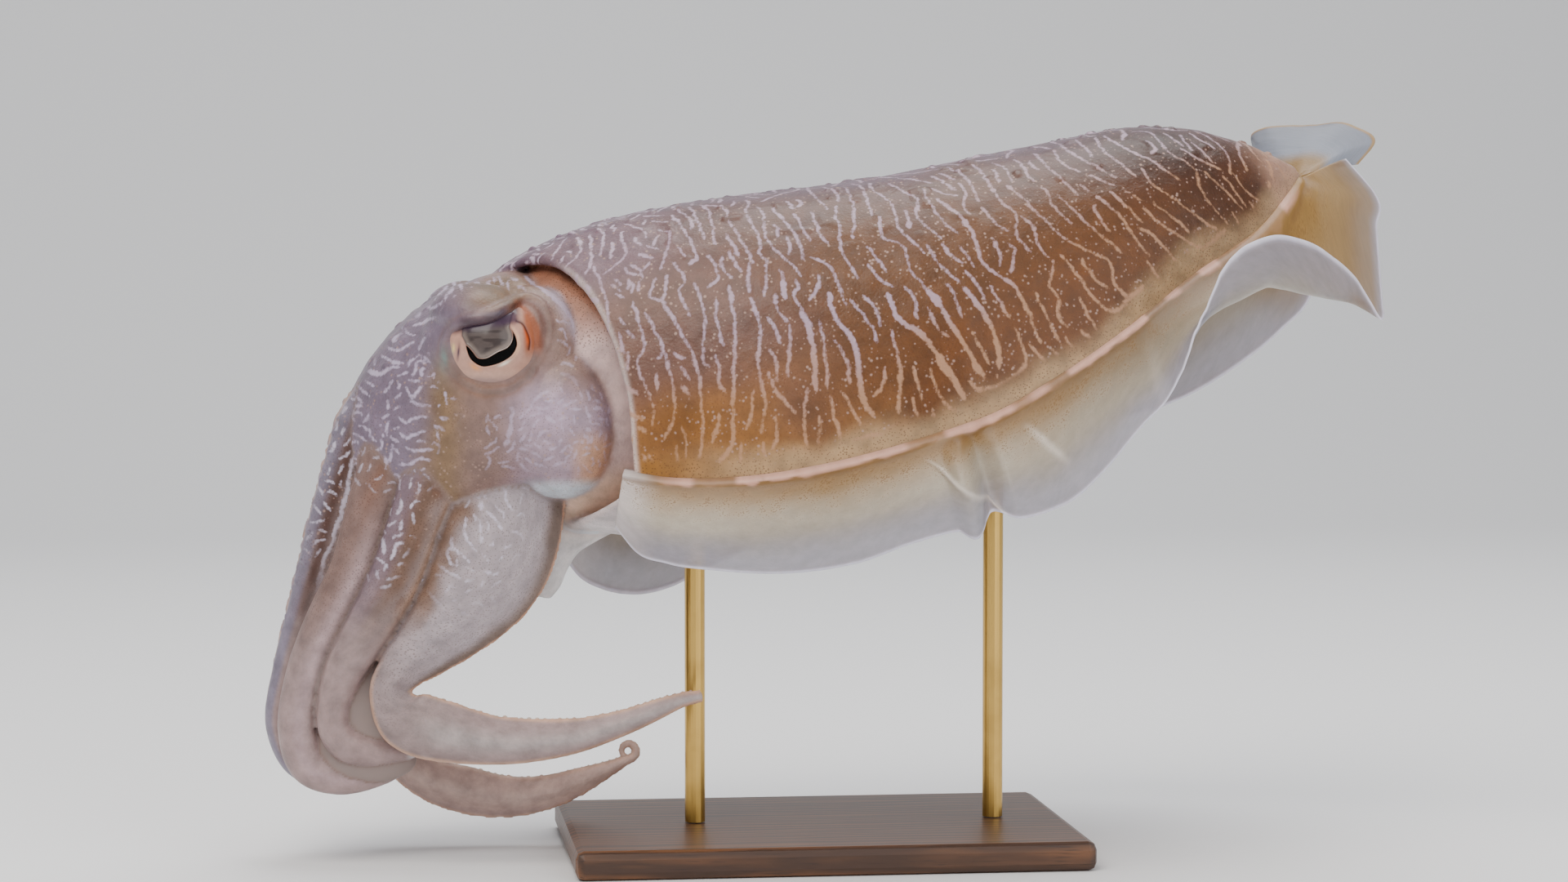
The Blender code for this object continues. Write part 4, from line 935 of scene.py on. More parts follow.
@dataclass(frozen=True)
class FinMembrane:
    """A thin sheet of moist muscle: clear and milky towards its free edge, freckled near its root."""

    name: str = "fin_membrane"
    freckle: str = "#6b4a1e"
    ior: float = 1.37
    roughness: float = 0.38
    # Real sizes in millimetres
    freckle_spacing: float = 0.55
    wrinkle_depth: float = 0.3
    rays_per_mm: float = 0.3
    wrinkles_per_mm: float = 1.2

    def build(self) -> bpy.types.Material:
        """Makes the material."""
        g = Graph(self.name)
        tone = g.add("Attribute", attribute_name="tone")
        place = g.add("Attribute", out="Vector", attribute_name="place")
        grain, cover = (g.add("Attribute", out="Fac", attribute_name=name) for name in ("grain", "cover"))
        rays = g.add("TexNoise", {"Vector": place, "Scale": self.rays_per_mm, "Detail": 3.0,
                                  "Roughness": 0.6})
        shade = g.add("MapRange", {"Value": rays, "From Min": 0.3, "From Max": 0.7, "To Min": 0.9,
                                   "To Max": 1.08})
        colour = g.add("VectorMath", {0: tone, "Scale": shade}, operation="SCALE")
        speck = g.add("TexVoronoi", {"Vector": place, "Scale": 1 / self.freckle_spacing})
        size = g.add("TexNoise", {"Vector": place, "Scale": self.rays_per_mm, "Detail": 2.0})
        size = g.add("MapRange", {"Value": size, "From Min": 0.35, "From Max": 0.65, "To Min": 0.1,
                                  "To Max": 0.5})
        size = g.add("Math", {0: size, 1: grain}, operation="MULTIPLY")
        gap = g.add("Math", {0: size, 1: speck}, operation="SUBTRACT")
        freckles = g.add("MapRange", {"Value": gap, "From Min": -0.08, "From Max": 0.1, "To Max": 0.7})
        colour = g.add("Mix", {0: freckles, 6: colour, 7: rgba(self.freckle)}, 2, data_type="RGBA")
        fine = g.add("TexNoise", {"Vector": place, "Scale": self.wrinkles_per_mm, "Detail": 3.0})
        bump = g.add("Bump", {"Strength": 0.2, "Distance": self.wrinkle_depth * MM, "Height": fine})
        g.link(g.shader, {"Base Color": colour, "Normal": bump, "Alpha": cover, "Roughness": self.roughness,
                          "IOR": self.ior, "Subsurface Weight": 0.4, "Subsurface Radius": (1.0, 0.8, 0.7),
                          "Subsurface Scale": 2.5 * MM, "Coat Weight": 0.2, "Coat Roughness": 0.2,
                          "Coat IOR": 1.33})
        return g.material


@dataclass(frozen=True)
class WetEye:
    """An eye under a clear wet cornea: pearly flesh with a sharp black slit and small highlights."""

    name: str = "wet_eye"
    ior: float = 1.38
    roughness: float = 0.25
    streaks_per_mm: float = 0.9
    coat: float = 0.2
    specular: float = 0.5

    def build(self) -> bpy.types.Material:
        """Makes the material."""
        g = Graph(self.name)
        tone = g.add("Attribute", attribute_name="tone")
        place = g.add("Attribute", out="Vector", attribute_name="place")
        streaks = g.add("TexNoise", {"Vector": place, "Scale": self.streaks_per_mm, "Detail": 3.0})
        shade = g.add("MapRange", {"Value": streaks, "From Min": 0.3, "From Max": 0.7, "To Min": 0.92,
                                   "To Max": 1.06})
        colour = g.add("VectorMath", {0: tone, "Scale": shade}, operation="SCALE")
        gloss = g.add("Attribute", out="Fac", attribute_name="gloss")
        # The pupil neither shines nor has a coat, so that it stays black
        coat = g.add("Math", {0: gloss, 1: self.coat}, operation="MULTIPLY")
        shine = g.add("Math", {0: gloss, 1: self.specular}, operation="MULTIPLY")
        g.link(g.shader, {"Base Color": colour, "Roughness": self.roughness, "IOR": self.ior,
                          "Specular IOR Level": shine, "Coat Weight": coat,
                          "Coat Roughness": 0.05, "Coat IOR": 1.38})
        return g.material


@dataclass(frozen=True)
class PaleFlesh:
    """Smooth pale flesh of the suckers: soft and wet, with a fine mottle."""

    name: str = "pale_sucker_flesh"
    colour: str = "#dccbc0"
    shaded: str = "#b99a88"
    ior: float = 1.38
    roughness: float = 0.35
    mottle_size: float = 1.2

    def build(self) -> bpy.types.Material:
        """Makes the material."""
        g = Graph(self.name)
        place = g.add("TexCoord", out="Object")
        mottle = g.add("TexNoise", {"Vector": place, "Scale": 1 / (self.mottle_size * MM), "Detail": 3.0})
        mask = g.add("MapRange", {"Value": mottle, "From Min": 0.4, "From Max": 0.7})
        colour = g.add("Mix", {0: mask, 6: rgba(self.colour), 7: rgba(self.shaded)}, 2, data_type="RGBA")
        g.link(g.shader, {"Base Color": colour, "Roughness": self.roughness, "IOR": self.ior,
                          "Subsurface Weight": 0.3, "Subsurface Radius": (1.0, 0.6, 0.5),
                          "Subsurface Scale": 1.0 * MM, "Coat Weight": 0.3, "Coat Roughness": 0.15})
        return g.material


@dataclass(frozen=True)
class OiledWalnut:
    """Walnut, planed and oiled: dark brown with long grain and a low sheen."""

    name: str = "oiled_walnut"
    light: str = "#6d4526"
    dark: str = "#3b2313"
    pore: str = "#241409"
    ior: float = 1.5
    roughness: float = 0.45
    # Real sizes in millimetres: growth rings drawn out along the board, and their slow bends
    ring_width: float = 3.0
    pore_width: float = 0.4
    bend_size: float = 14.0

    def build(self) -> bpy.types.Material:
        """Makes the material."""
        g = Graph(self.name)
        place = g.add("TexCoord", out="Object")
        stretched = g.add("Mapping", {"Vector": place, "Scale": (0.12, 1.0, 1.0)})
        bend = g.add("TexNoise", {"Vector": stretched, "Scale": 1 / (self.bend_size * MM), "Detail": 3.0},
                     out="Color")
        bent = g.add("Mix", {0: 0.012, 4: stretched, 5: bend}, out=1, data_type="VECTOR")
        rings = g.add("TexWave", {"Vector": bent, "Scale": 0.3 / (self.ring_width * MM), "Distortion": 3.0,
                                  "Detail": 3.0, "Detail Scale": 1.5}, bands_direction="Y")
        colour = g.add("Mix", {0: rings, 6: rgba(self.dark), 7: rgba(self.light)}, 2, data_type="RGBA")
        fibre = g.add("Mapping", {"Vector": place, "Scale": (0.04, 1.0, 1.0)})
        pores = g.add("TexNoise", {"Vector": fibre, "Scale": 1 / (self.pore_width * MM), "Detail": 2.0})
        mask = g.add("MapRange", {"Value": pores, "From Min": 0.58, "From Max": 0.7, "To Max": 0.75})
        colour = g.add("Mix", {0: mask, 6: colour, 7: rgba(self.pore)}, 2, data_type="RGBA")
        bump = g.add("Bump", {"Strength": 0.25, "Distance": 0.1 * MM, "Height": pores}, invert=True)
        g.link(g.shader, {"Base Color": colour, "Normal": bump, "Roughness": self.roughness, "IOR": self.ior,
                          "Coat Weight": 0.15, "Coat Roughness": 0.3})
        return g.material


@dataclass(frozen=True)
class BrushedBrass:
    """Brass rod, drawn and brushed: warm yellow metal with fine rings round it."""

    name: str = "brushed_brass"
    colour: str = "#c9a45a"
    tarnish: str = "#9a7a3e"
    roughness: float = 0.28
    # Real sizes in millimetres: marks of the brush, far longer round the rod than along it
    mark_width: float = 0.3
    patch_size: float = 12.0

    def build(self) -> bpy.types.Material:
        """Makes the material."""
        g = Graph(self.name)
        place = g.add("TexCoord", out="Object")
        marks = g.add("Mapping", {"Vector": place, "Scale": (0.05, 0.05, 1.0)})
        marks = g.add("TexNoise", {"Vector": marks, "Scale": 1 / (self.mark_width * MM), "Detail": 2.0})
        patches = g.add("TexNoise", {"Vector": place, "Scale": 1 / (self.patch_size * MM), "Detail": 3.0})
        mask = g.add("MapRange", {"Value": patches, "From Min": 0.45, "From Max": 0.75, "To Max": 0.6})
        colour = g.add("Mix", {0: mask, 6: rgba(self.colour), 7: rgba(self.tarnish)}, 2, data_type="RGBA")
        bump = g.add("Bump", {"Strength": 0.15, "Distance": 0.05 * MM, "Height": marks})
        g.link(g.shader, {"Base Color": colour, "Normal": bump, "Metallic": 1.0, "Roughness": self.roughness})
        return g.material


# The skin


@dataclass
class Skin:
    """One skin over mantle, neck, head, funnel, arms and fins."""

    mantle: Mantle
    head: Head
    arms: list[Arm]
    voxel: float = 0.5
    smoothing: int = 5

    def fused(self, shells: list[Shell]) -> tuple[np.ndarray, np.ndarray]:
        """Melts overlapping shells into one surface.

        Args:
            shells: The closed forms.

        Returns:
            Points and faces of the surface, all with four corners.
        """
        raw = new_object("raw", *joined([(shell.points, shell.faces) for shell in shells]))
        remesh = raw.modifiers.new("fuse", "REMESH")
        remesh.mode = "VOXEL"
        remesh.voxel_size = self.voxel * MM
        remesh.use_smooth_shade = True
        relax = raw.modifiers.new("relax", "SMOOTH")
        relax.factor = 0.5
        relax.iterations = self.smoothing
        view = bpy.context.evaluated_depsgraph_get()
        raw_mesh = raw.data
        fused = bpy.data.meshes.new_from_object(raw.evaluated_get(view))
        raw.modifiers.clear()
        raw.data = fused
        points, faces = read_mesh(raw)
        bpy.data.objects.remove(raw)
        bpy.data.meshes.remove(raw_mesh)
        bpy.data.meshes.remove(fused)
        return points, faces

    def sources(self, shells: list[Shell], points: np.ndarray) -> tuple[np.ndarray, np.ndarray]:
        """Finds which shell each point of the fused surface comes from.

        Args:
            shells: The closed forms.
            points: The surface's points.

        Returns:
            For each point, the number of its shell and of the nearest point in that shell.
        """
        owner = np.concatenate([np.full(len(shell.points), n) for n, shell in enumerate(shells)])
        within = np.concatenate([np.arange(len(shell.points)) for shell in shells])
        tree = KDTree(len(owner))
        for n, point in enumerate(np.vstack([shell.points for shell in shells])):
            tree.insert(point, n)
        tree.balance()
        nearest = np.array([tree.find(point)[1] for point in points])
        return owner[nearest], within[nearest]

    def build(self, finishes: list[bpy.types.Material], fins: list[Fin]) -> bpy.types.Object:
        """Makes the skin with its colours and patterns.

        Args:
            finishes: The body's and the fins' materials.
            fins: The two fins.

        Returns:
            The skin.
        """
        webs = [oval_shell((x, side.value * y, z), radii, Region.ARM)
                for (x, y, z), radii in WEBS for side in Side]
        shells = [self.mantle.shell(), *self.head.shells(), *webs, *(arm.shell() for arm in self.arms)]
        points, faces = self.fused(shells)
        owner, within = self.sources(shells, points)
        body = BodyPattern(self, shells, points, faces, owner, within)
        normals = point_normals(points, faces)
        points = points + normals * body.relief()[:, None]
        data = [(points, faces, body.attributes())]
        for fin in fins:
            fin_points, fin_faces, places = fin.build()
            data.append((fin_points, fin_faces, fin_attributes(places)))
        skin = new_object("skin", *joined([part[:2] for part in data]))
        for name, sample in data[0][2].items():
            rows = [part[2].get(name, np.zeros((len(part[0]), *sample.shape[1:]))) for part in data]
            give_attribute(skin, name, np.concatenate(rows))
        for finish in finishes:
            skin.data.materials.append(finish)
        slots = np.zeros(len(skin.data.polygons), np.int32)
        slots[len(faces):] = 1
        skin.data.polygons.foreach_set("material_index", slots)
        skin.data.update()
        return skin


def soften(values: np.ndarray, faces: np.ndarray, rounds: int) -> np.ndarray:
    """Spreads values over neighbouring points.

    Args:
        values: A number for each point.
        faces: The mesh's faces.
        rounds: How often they are spread.

    Returns:
        The softened values.
    """
    corners = faces.ravel()
    shares = np.bincount(corners, minlength=len(values))
    for _ in range(rounds):
        means = np.repeat(values[faces].mean(1), faces.shape[1])
        values = np.bincount(corners, means, len(values)) / shares
    return values


# Main lines of the back by half width: distances along the mantle and down from its middle
BACK_LINES: Lines = {
    0.3: [(1.5, 20.5, 6.5, 9.5), (4, 26.5, 6.5, 25, 8.5, 21.5, 9, 13), (7.5, 32.5, 9.5, 30, 12, 14),
        (14, 12.5, 15, 16, 12.5, 27), (12, 35, 17.5, 31.5, 18.5, 29.5, 19, 19.5, 20, 19.5), (20.5, 14, 24,
        22.5, 24, 26), (27.5, 23, 29.5, 26, 29, 30.5, 24.5, 40), (32, 15, 33.5, 39, 31.5, 41), (33.5, 9.5,
        35.5, 22, 35, 27), (37, 10, 37, 32.5), (39.5, 9.5, 40.5, 17.5, 39, 35.5), (40.5, 11, 43, 15, 44.5,
        20, 43.5, 24), (44, 26, 46, 44), (50.5, 12, 50.5, 17, 49, 21, 49, 39, 48, 41, 49, 43.5, 46, 54.5),
        (52, 20, 52.5, 24.5, 51, 36.5, 56, 50), (55, 21.5, 58, 40, 57.5, 45.5), (59.5, 26.5, 60.5, 39), (67,
        1, 66, 12, 67.5, 26.5), (70, 7.5, 71.5, 16, 71, 22.5), (70, 25, 68.5, 30.5, 68.5, 36, 67, 43, 68.5,
        52.5), (63.5, 27, 63.5, 37, 64.5, 41), (59.5, 44.5, 62.5, 47.5, 64, 59.5), (74.5, 12, 73.5, 28,
        70.5, 40), (77, 7.5, 78, 14, 77, 32.5), (81, 10.5, 80, 17, 82.5, 29, 82, 39, 85.5, 48), (78.5, 32.5,
        77.5, 41.5, 81, 44.5, 81, 52.5, 83.5, 58.5), (84.5, 14, 86.5, 22.5, 88.5, 28, 87, 34.5, 87.5, 37.5,
        90.5, 44.5), (54.5, 51, 54.5, 53.5, 53, 55, 54.5, 63.5), (100, 9.5, 102.5, 24, 102.5, 33.5, 104,
        41.5, 106.5, 45), (100, 23.5, 100, 30, 98.5, 34.5, 99, 38), (91, 24, 91, 30, 93, 40.5, 95, 44),
        (106, 14, 107.5, 34.5, 109.5, 40.5, 108, 46.5, 110, 51.5), (110.5, 41, 112.5, 44, 112.5, 51, 114.5,
        54.5, 112, 60, 113.5, 63.5, 112, 66.5, 113.5, 69), (110.5, 14.5, 112, 19, 112.5, 27.5), (115.5, 15,
        116.5, 19.5, 116.5, 26, 119, 34.5, 119, 38.5, 121.5, 44.5), (110.5, 29, 119, 48.5, 128.5, 55, 128,
        59.5, 130.5, 62), (121, 12, 122, 23.5, 126, 36), (126, 13.5, 125.5, 20.5, 127, 25.5, 141, 39), (128,
        2, 129.5, 19, 131.5, 24, 137, 32), (132.5, 7.5, 133.5, 22), (121, 35, 126.5, 46, 132, 52.5), (117,
        52.5, 122.5, 63.5, 125, 65, 135, 59), (86.5, 45.5, 88.5, 53, 91.5, 58), (139.5, 9.5, 140.5, 15.5,
        143, 21, 152.5, 31.5), (137.5, 9.5, 137, 19.5, 141.5, 31.5), (146.5, 10, 150, 10, 152, 19.5, 153.5,
        23, 155.5, 24.5, 157, 26.5, 157, 33, 159.5, 37, 161.5, 38), (162.5, 5, 167.5, 16, 166.5, 23.5),
        (144, 28.5, 144.5, 32.5, 147, 36, 156, 41, 158, 41), (140.5, 41, 144, 44.5, 149, 47, 153, 47, 160.5,
        40), (167.5, 23, 168.5, 25.5, 172.5, 25.5, 175.5, 22, 177, 16.5), (23, 42, 20.5, 46.5, 23, 48.5, 26,
        42), (16.5, 45.5, 16, 58, 14, 59.5, 13.5, 62.5, 14.5, 70.5, 13.5, 73), (18.5, 50, 20, 60, 18.5,
        61.5), (20.5, 61, 19, 73, 15, 76), (10, 30.5, 10.5, 45, 8.5, 52), (28, 38.5, 29.5, 45.5, 27.5, 47.5,
        28, 55), (31.5, 46.5, 31.5, 56, 28.5, 66, 29.5, 67.5), (48.5, 54, 48, 59, 49.5, 62, 46, 74), (32,
        83.5, 30.5, 86.5, 36.5, 88, 39, 88), (65, 57.5, 68.5, 66, 68.5, 69)],
    0.35: [(59.5, 18.5, 60, 24, 62.5, 20.5, 61.5, 17.5), (127.5, 32.5, 134, 43, 136.5, 49.5, 138.5,
        52.5), (23, 48.5, 26.5, 67.5, 22.5, 81.5, 20.5, 83), (45, 44, 43, 52, 43, 62.5, 40.5, 68.5, 39.5,
        77.5, 37, 82.5, 36.5, 86.5), (87, 79, 88.5, 80.5, 94, 80, 101.5, 76, 101, 69), (56.5, 87, 65, 86,
        69, 84.5)],
    0.4: [(93, 29.5, 98, 43, 98, 52, 99.5, 55.5, 104, 60.5, 106, 72), (39, 49.5, 37, 62, 31.5, 78.5, 30,
        82.5, 26, 84.5), (72.5, 66.5, 72, 75, 69, 83)],
    0.55: [(74, 57.5, 75, 64.5, 78.5, 67.5, 85, 82), (83.5, 58, 90.5, 78.5), (92, 58.5, 95.5, 69, 95,
        76.5, 94, 78.5)],
    0.6: [(53, 59.5, 54, 64, 52, 77), (61, 55.5, 60.5, 61, 63, 68, 62, 79.5, 63, 83)],
}
# Lines on the head (0) and on three arms by half width: X and Z as seen from the side
SIDE_LINES: dict[int, Lines] = {
    0: {0.3: [(-100, 112, -98.5, 111.5, -96.5, 111, -95, 111), (-102, 108, -100.5, 107, -98.5, 108, -95.5,
        108.5), (-102, 104.5, -100.5, 103.5, -98.5, 104, -96.5, 105, -95, 105), (-100.5, 101, -98.5, 100.5,
        -94.5, 100.5), (-102, 97, -100, 97, -97, 98.5, -95, 98), (-99, 94.5, -96.5, 96), (-103, 94.5,
        -100.5, 92.5, -96.5, 92), (-100.5, 92.5, -101, 89), (-109, 118.5, -106, 118, -104, 119.5, -102,
        119.5), (-111.5, 115, -109, 113, -105.5, 114, -103.5, 116.5), (-113, 110, -110, 110.5, -107, 109.5),
        (-112, 112.5, -111, 111.5, -106, 111), (-100.5, 115, -99, 113, -97, 115.5), (-98.5, 129.5, -96.5,
        130, -93.5, 131.5), (-104.5, 124, -102.5, 123.5, -98.5, 125.5), (-106, 122, -103.5, 121, -101,
        120.5), (-89.5, 109, -87.5, 109, -89, 106, -88, 103.5)],
    0.35: [(-65, 118.5, -62, 117.5, -60.5, 115.5), (-71.5, 112, -68, 114.5), (-78, 113, -76, 109.5,
        -76.5, 106, -77, 104)],
    0.5: [(-72, 141, -68, 138, -64, 134.5, -61.5, 131, -60, 126, -57, 123.5)]},
    1: {0.3: [(-113, 96.5, -110, 96.5), (-113, 94.5, -111, 94.5), (-114.5, 90, -112.5, 89.5), (-111, 99,
        -109, 99.5)],
    0.45: [(-111, 105.5, -112, 101, -111.5, 99.5, -113, 97, -114, 92.5, -115, 87.5, -118, 77.5, -119.5,
        74.5, -121.5, 67, -123, 60.5, -125, 57)]},
    3: {0.4: [(-102, 88.5, -102, 86.5, -103, 85.5), (-106.5, 79.5, -106, 77.5, -106, 76), (-101.5, 78.5,
        -103, 78, -103.5, 76, -104, 75)]},
    4: {0.3: [(-86.5, 84.5, -87, 82, -86, 78.5, -84.5, 76.5), (-83.5, 84, -83, 80.5, -83, 78.5), (-90, 80,
        -90, 77.5, -87.5, 75.5, -85.5, 73.5), (-90, 77.5, -91, 75.5, -90, 73), (-81.5, 86, -79.5, 83.5, -78,
        81.5), (-78, 92, -77, 88.5, -75.5, 86), (-80, 92, -78, 91.5), (-76, 93.5, -74.5, 92, -69.5, 90),
        (-73, 95.5, -71, 94.5, -68.5, 93), (-94, 73.5, -91, 71.5, -88, 70), (-96, 67.5, -93.5, 64.5, -91.5,
        62), (-98.5, 63, -95, 61)],
    0.5: [(-84, 89.5, -83.5, 89)],
    0.7: [(-83, 88, -83, 86.5)]},
}


class Strokes:
    """Marks drawn on a flat map of the skin as uneven lines."""

    # Sizes of the map's fine and coarse cells and the steps along a line, in millimetres
    CELL = 0.125
    COARSE = 0.5
    STEP = 0.2
    # How many fine cells round its middle a line is drawn over
    BRUSH = 10

    def __init__(self, low: tuple[float, float], high: tuple[float, float], seed: int) -> None:
        """Starts an empty map between two corners."""
        self.low = np.array(low, float)
        size = np.array(high) - self.low
        self.sheet = np.full(tuple((size / self.CELL).astype(int) + 1), -1.0)
        self.taken = np.zeros(tuple((size / self.COARSE).astype(int) + 1), bool)
        self.seed = seed

    def free(self, place: np.ndarray) -> bool:
        """Whether a place lies on the map, away from the lines."""
        i, j = ((place - self.low) / self.COARSE).astype(int)
        return 0 <= i < self.taken.shape[0] and 0 <= j < self.taken.shape[1] and not self.taken[i, j]

    def stroke(self, points: np.ndarray, half: float, gap: float) -> None:
        """Draws one line that swells, thins out and breaks.

        Args:
            points: Places on the map, close together.
            half: Half its width.
            gap: How far other lines stay away.
        """
        at = np.column_stack([points, np.full(len(points), self.seed * 7.7)])
        points = points + np.column_stack([noise(at, 1.6, 51), noise(at, 1.6, 52)]) * 0.3
        halves = half * (1 + noise(at, 2.4, 53) * 0.4) + ease(0.45, 0.75, noise(at, 2.6, 54)) * half * 0.8
        halves = halves - ease(0.68, 0.85, noise(at, 3.0, 55)) * 0.7
        ends = np.minimum(np.arange(len(points)), np.arange(len(points))[::-1]) / 6
        halves = halves * np.minimum(1, 0.5 + ends)
        brush = self.BRUSH
        span = np.arange(-brush, brush + 1)
        last = np.array(self.sheet.shape) - 1 - brush
        for place, width in zip(points, halves):
            i, j = ((place - self.low) / self.CELL).astype(int)
            if not (brush < i < last[0] and brush < j < last[1]):
                continue
            away = np.hypot((i + span)[:, None] * self.CELL + self.low[0] - place[0],
                            (j + span)[None] * self.CELL + self.low[1] - place[1])
            part = self.sheet[i - brush:i + brush + 1, j - brush:j + brush + 1]
            np.maximum(part, width - away, out=part)
        reach = int(gap / self.COARSE)
        for i, j in ((points[::2] - self.low) / self.COARSE).astype(int):
            self.taken[max(i - reach, 0):max(i + reach + 1, 0),
                       max(j - reach, 0):max(j + reach + 1, 0)] = True

    def draw(self, lines: Lines, gap: float, shift: float = 0.0) -> None:
        """Draws given lines, moved about by up to the shift."""
        for half, flat in ((half, flat) for half, some in lines.items() for flat in some):
            rows = np.array(flat, float).reshape(-1, 2)
            if shift:
                at = np.column_stack([rows, 0 * rows[:, 0]])
                rows = rows + np.column_stack([noise(at, 25.0, 56), noise(at, 25.0, 57)]) * shift
            count = max(4, int(distances(rows)[-1] / self.STEP))
            self.stroke(spline([(x, 0.0, y) for x, y in rows], count)[:, [0, 2]], half, gap)

    def fill(self, places: np.ndarray, styles: np.ndarray) -> None:
        """Fills the space between the lines with wandering ones.

        Args:
            places: Where lines may start.
            styles: For each place the gap to others, the length, the half width, the heading in
                radians from the map's second axis, and how much it wanders.
        """
        chance = np.random.default_rng([11, self.seed])
        for place, (gap, length, half, heading, sway) in zip(places, styles):
            if not self.free(place):
                continue
            count = int(length * chance.uniform(0.5, 1.3) / self.STEP)
            turn, points = heading + chance.normal() * sway * 0.6, [place]
            bend = chance.normal() * sway * 0.05
            for _ in range(count):
                turn += (heading - turn) * 0.03 + bend + chance.normal() * sway * 0.09
                bend = bend * 0.985 + chance.normal() * sway * 0.006
                after = points[-1] + self.STEP * np.array([math.sin(turn), math.cos(turn)])
                if not self.free(after):
                    break
                points.append(after)
            if len(points) > 5 + 0.3 * length / self.STEP:
                self.stroke(np.array(points), half, gap)

    def read(self, places: np.ndarray) -> np.ndarray:
        """How deep places lie inside the lines, in millimetres; below 0 outside them."""
        at = np.clip((places - self.low) / self.CELL, 0, np.array(self.sheet.shape) - 1.001)
        cell = at.astype(int)
        part = at - cell
        total = np.zeros(len(places))
        for i, j in product((0, 1), repeat=2):
            share = np.where(i, part[:, 0], 1 - part[:, 0]) * np.where(j, part[:, 1], 1 - part[:, 1])
            total += self.sheet[cell[:, 0] + i, cell[:, 1] + j] * share
        return total


class BodyPattern:
    """Works out the colours, marks and relief of the fused skin."""

    # Lines of the back by the place along the mantle: gap, length, half width, heading, wander
    BACK_STYLE: Keys = [
        (-14, 0.9, 4.5, 0.32, 0.3, 1.0), (25, 1.0, 7, 0.34, 0.1, 0.9), (45, 1.4, 15, 0.33, 0.1, 0.6),
        (90, 1.6, 20, 0.34, 0.28, 0.5), (140, 1.5, 20, 0.33, 0.5, 0.5), (188, 1.4, 14, 0.34, 0.65, 0.5)]
    # The same for the arms, all over: gap, length, half width, heading, wander
    ARM_STYLES = {1: (1.3, 3.0, 0.25, 1.3, 1.0), 2: (1.3, 3.0, 0.25, 1.3, 1.0),
                  3: (1.4, 4.0, 0.28, 0.6, 1.6), 4: (1.7, 3.0, 0.24, 0.7, 1.4)}
    HEAD_STYLE = (0.9, 3.0, 0.26, 1.0, 1.6)
    # Lower and upper corners of the flat maps, and how many lines are tried on them
    BACK_MAP = ((-16.0, -3.0), (192.0, 100.0))
    SIDE_MAP = ((-136.0, 0.0), (-20.0, 150.0))
    BACK_TRIES = 9000
    SIDE_TRIES = 2500

    def __init__(self, skin: Skin, shells: list[Shell], points: np.ndarray, faces: np.ndarray,
                 owner: np.ndarray, within: np.ndarray) -> None:
        """Works out where each point lies on the animal."""
        self.points = points
        self.count = len(points)
        region = np.array([shell.region.value for shell in shells])[owner]
        self.soft = {kind: soften((region == kind.value).astype(float), faces, 3) for kind in Region}
        self.local = skin.mantle.to_local(points)
        self.turn, self.down, self.above = skin.mantle.around(self.local)
        degrees = np.degrees(np.clip(self.turn, 0, math.pi))
        margin = smooth(skin.mantle.front_margin, degrees)
        self.behind = (self.local[:, 0] - margin) / (1 - margin / skin.mantle.margin_fade)
        number = np.array([shell.number for shell in shells])[owner]
        self.arm = {n: soften((number == n).astype(float), faces, 3) for n in ARM_PATHS}
        self.fields = {name: np.zeros(self.count)
                       for name in ("run", "turn", "front", "outer", "half", "share")}
        # How close each arm's points lie to a neighbouring arm: the skin sinks there, and arm_tone paints
        # shade there
        self.groove_and_shade = np.zeros(self.count)
        first_arm = len(shells) - len(skin.arms)
        for n, arm in enumerate(skin.arms):
            mine = np.flatnonzero(owner == first_arm + n)
            row = np.clip(within[mine] // arm.sides, 0, arm.stations - 1)
            for name, values in arm.place(points[mine], row).items():
                self.fields[name][mine] = values
            self.fields["share"][mine] = self.fields["run"][mine] / arm.run[-1]
            for other in skin.arms:
                if other.side == arm.side and abs(other.number - arm.number) == 1:
                    gap = other.clearance(points[mine])
                    self.groove_and_shade[mine] = np.maximum(self.groove_and_shade[mine], ease(1.6, 0.0, gap))
        self.groove_and_shade = soften(self.groove_and_shade, faces, 3)
        self.blotch = noise(points, 14.0, 11) * 0.5 + noise(points, 6.0, 12) * 0.35
        # How far each point lies in front of a line down the head that leans forward
        self.forward = -points[:, 0] - 80 - (124 - points[:, 2]) * 0.34
        # Behind and above the middle of the eye
        self.eye_x = points[:, 0] - skin.head.eye[0]
        self.eye_z = points[:, 2] - skin.head.eye[2]
        self.eye_near = (ease(16, 13, np.hypot(self.eye_x, self.eye_z)) * ease(24, 27, np.abs(points[:, 1]))
                         * np.maximum(self.soft[Region.HEAD], self.soft[Region.LID]))

    def relief(self) -> np.ndarray:
        """How far each point stands out from the smooth form."""
        back = self.soft[Region.MANTLE] * ease(-6, 6, self.above)
        lumps = noise(self.points, 7.0, 1) * 0.16 + noise(self.points, 3.2, 2) * 0.1
        fine = noise(self.points, 1.5, 3) * 0.05
        papillae = ease(0.42, 0.85, noise(self.points, 3.2, 5)) * 0.6
        hem = bell(0.4, 1.3, self.behind) * ease(24, 40, np.degrees(self.turn)) * 0.2
        head = self.soft[Region.HEAD] * (1 - self.eye_near)
        front = ease(-84, -92, self.points[:, 0]) * head
        arms = self.soft[Region.ARM]
        share, edge = self.fields["share"], self.fields["front"]
        scallops = ease(0.1, 0.6, noise(self.points, 1.7, 8)) * 0.45 * ease(0.5, 0.85, edge) * self.arm[1]
        upper = ease(0.75, 0.45, share)
        return (back * (lumps + fine + papillae * ease(1.0, 0.25, self.turn) + hem)
                + head * (lumps * 0.7 + fine) + front * papillae * 0.6
                + arms * (upper * (lumps * 0.35 + fine + scallops) - self.groove_and_shade * 0.55))

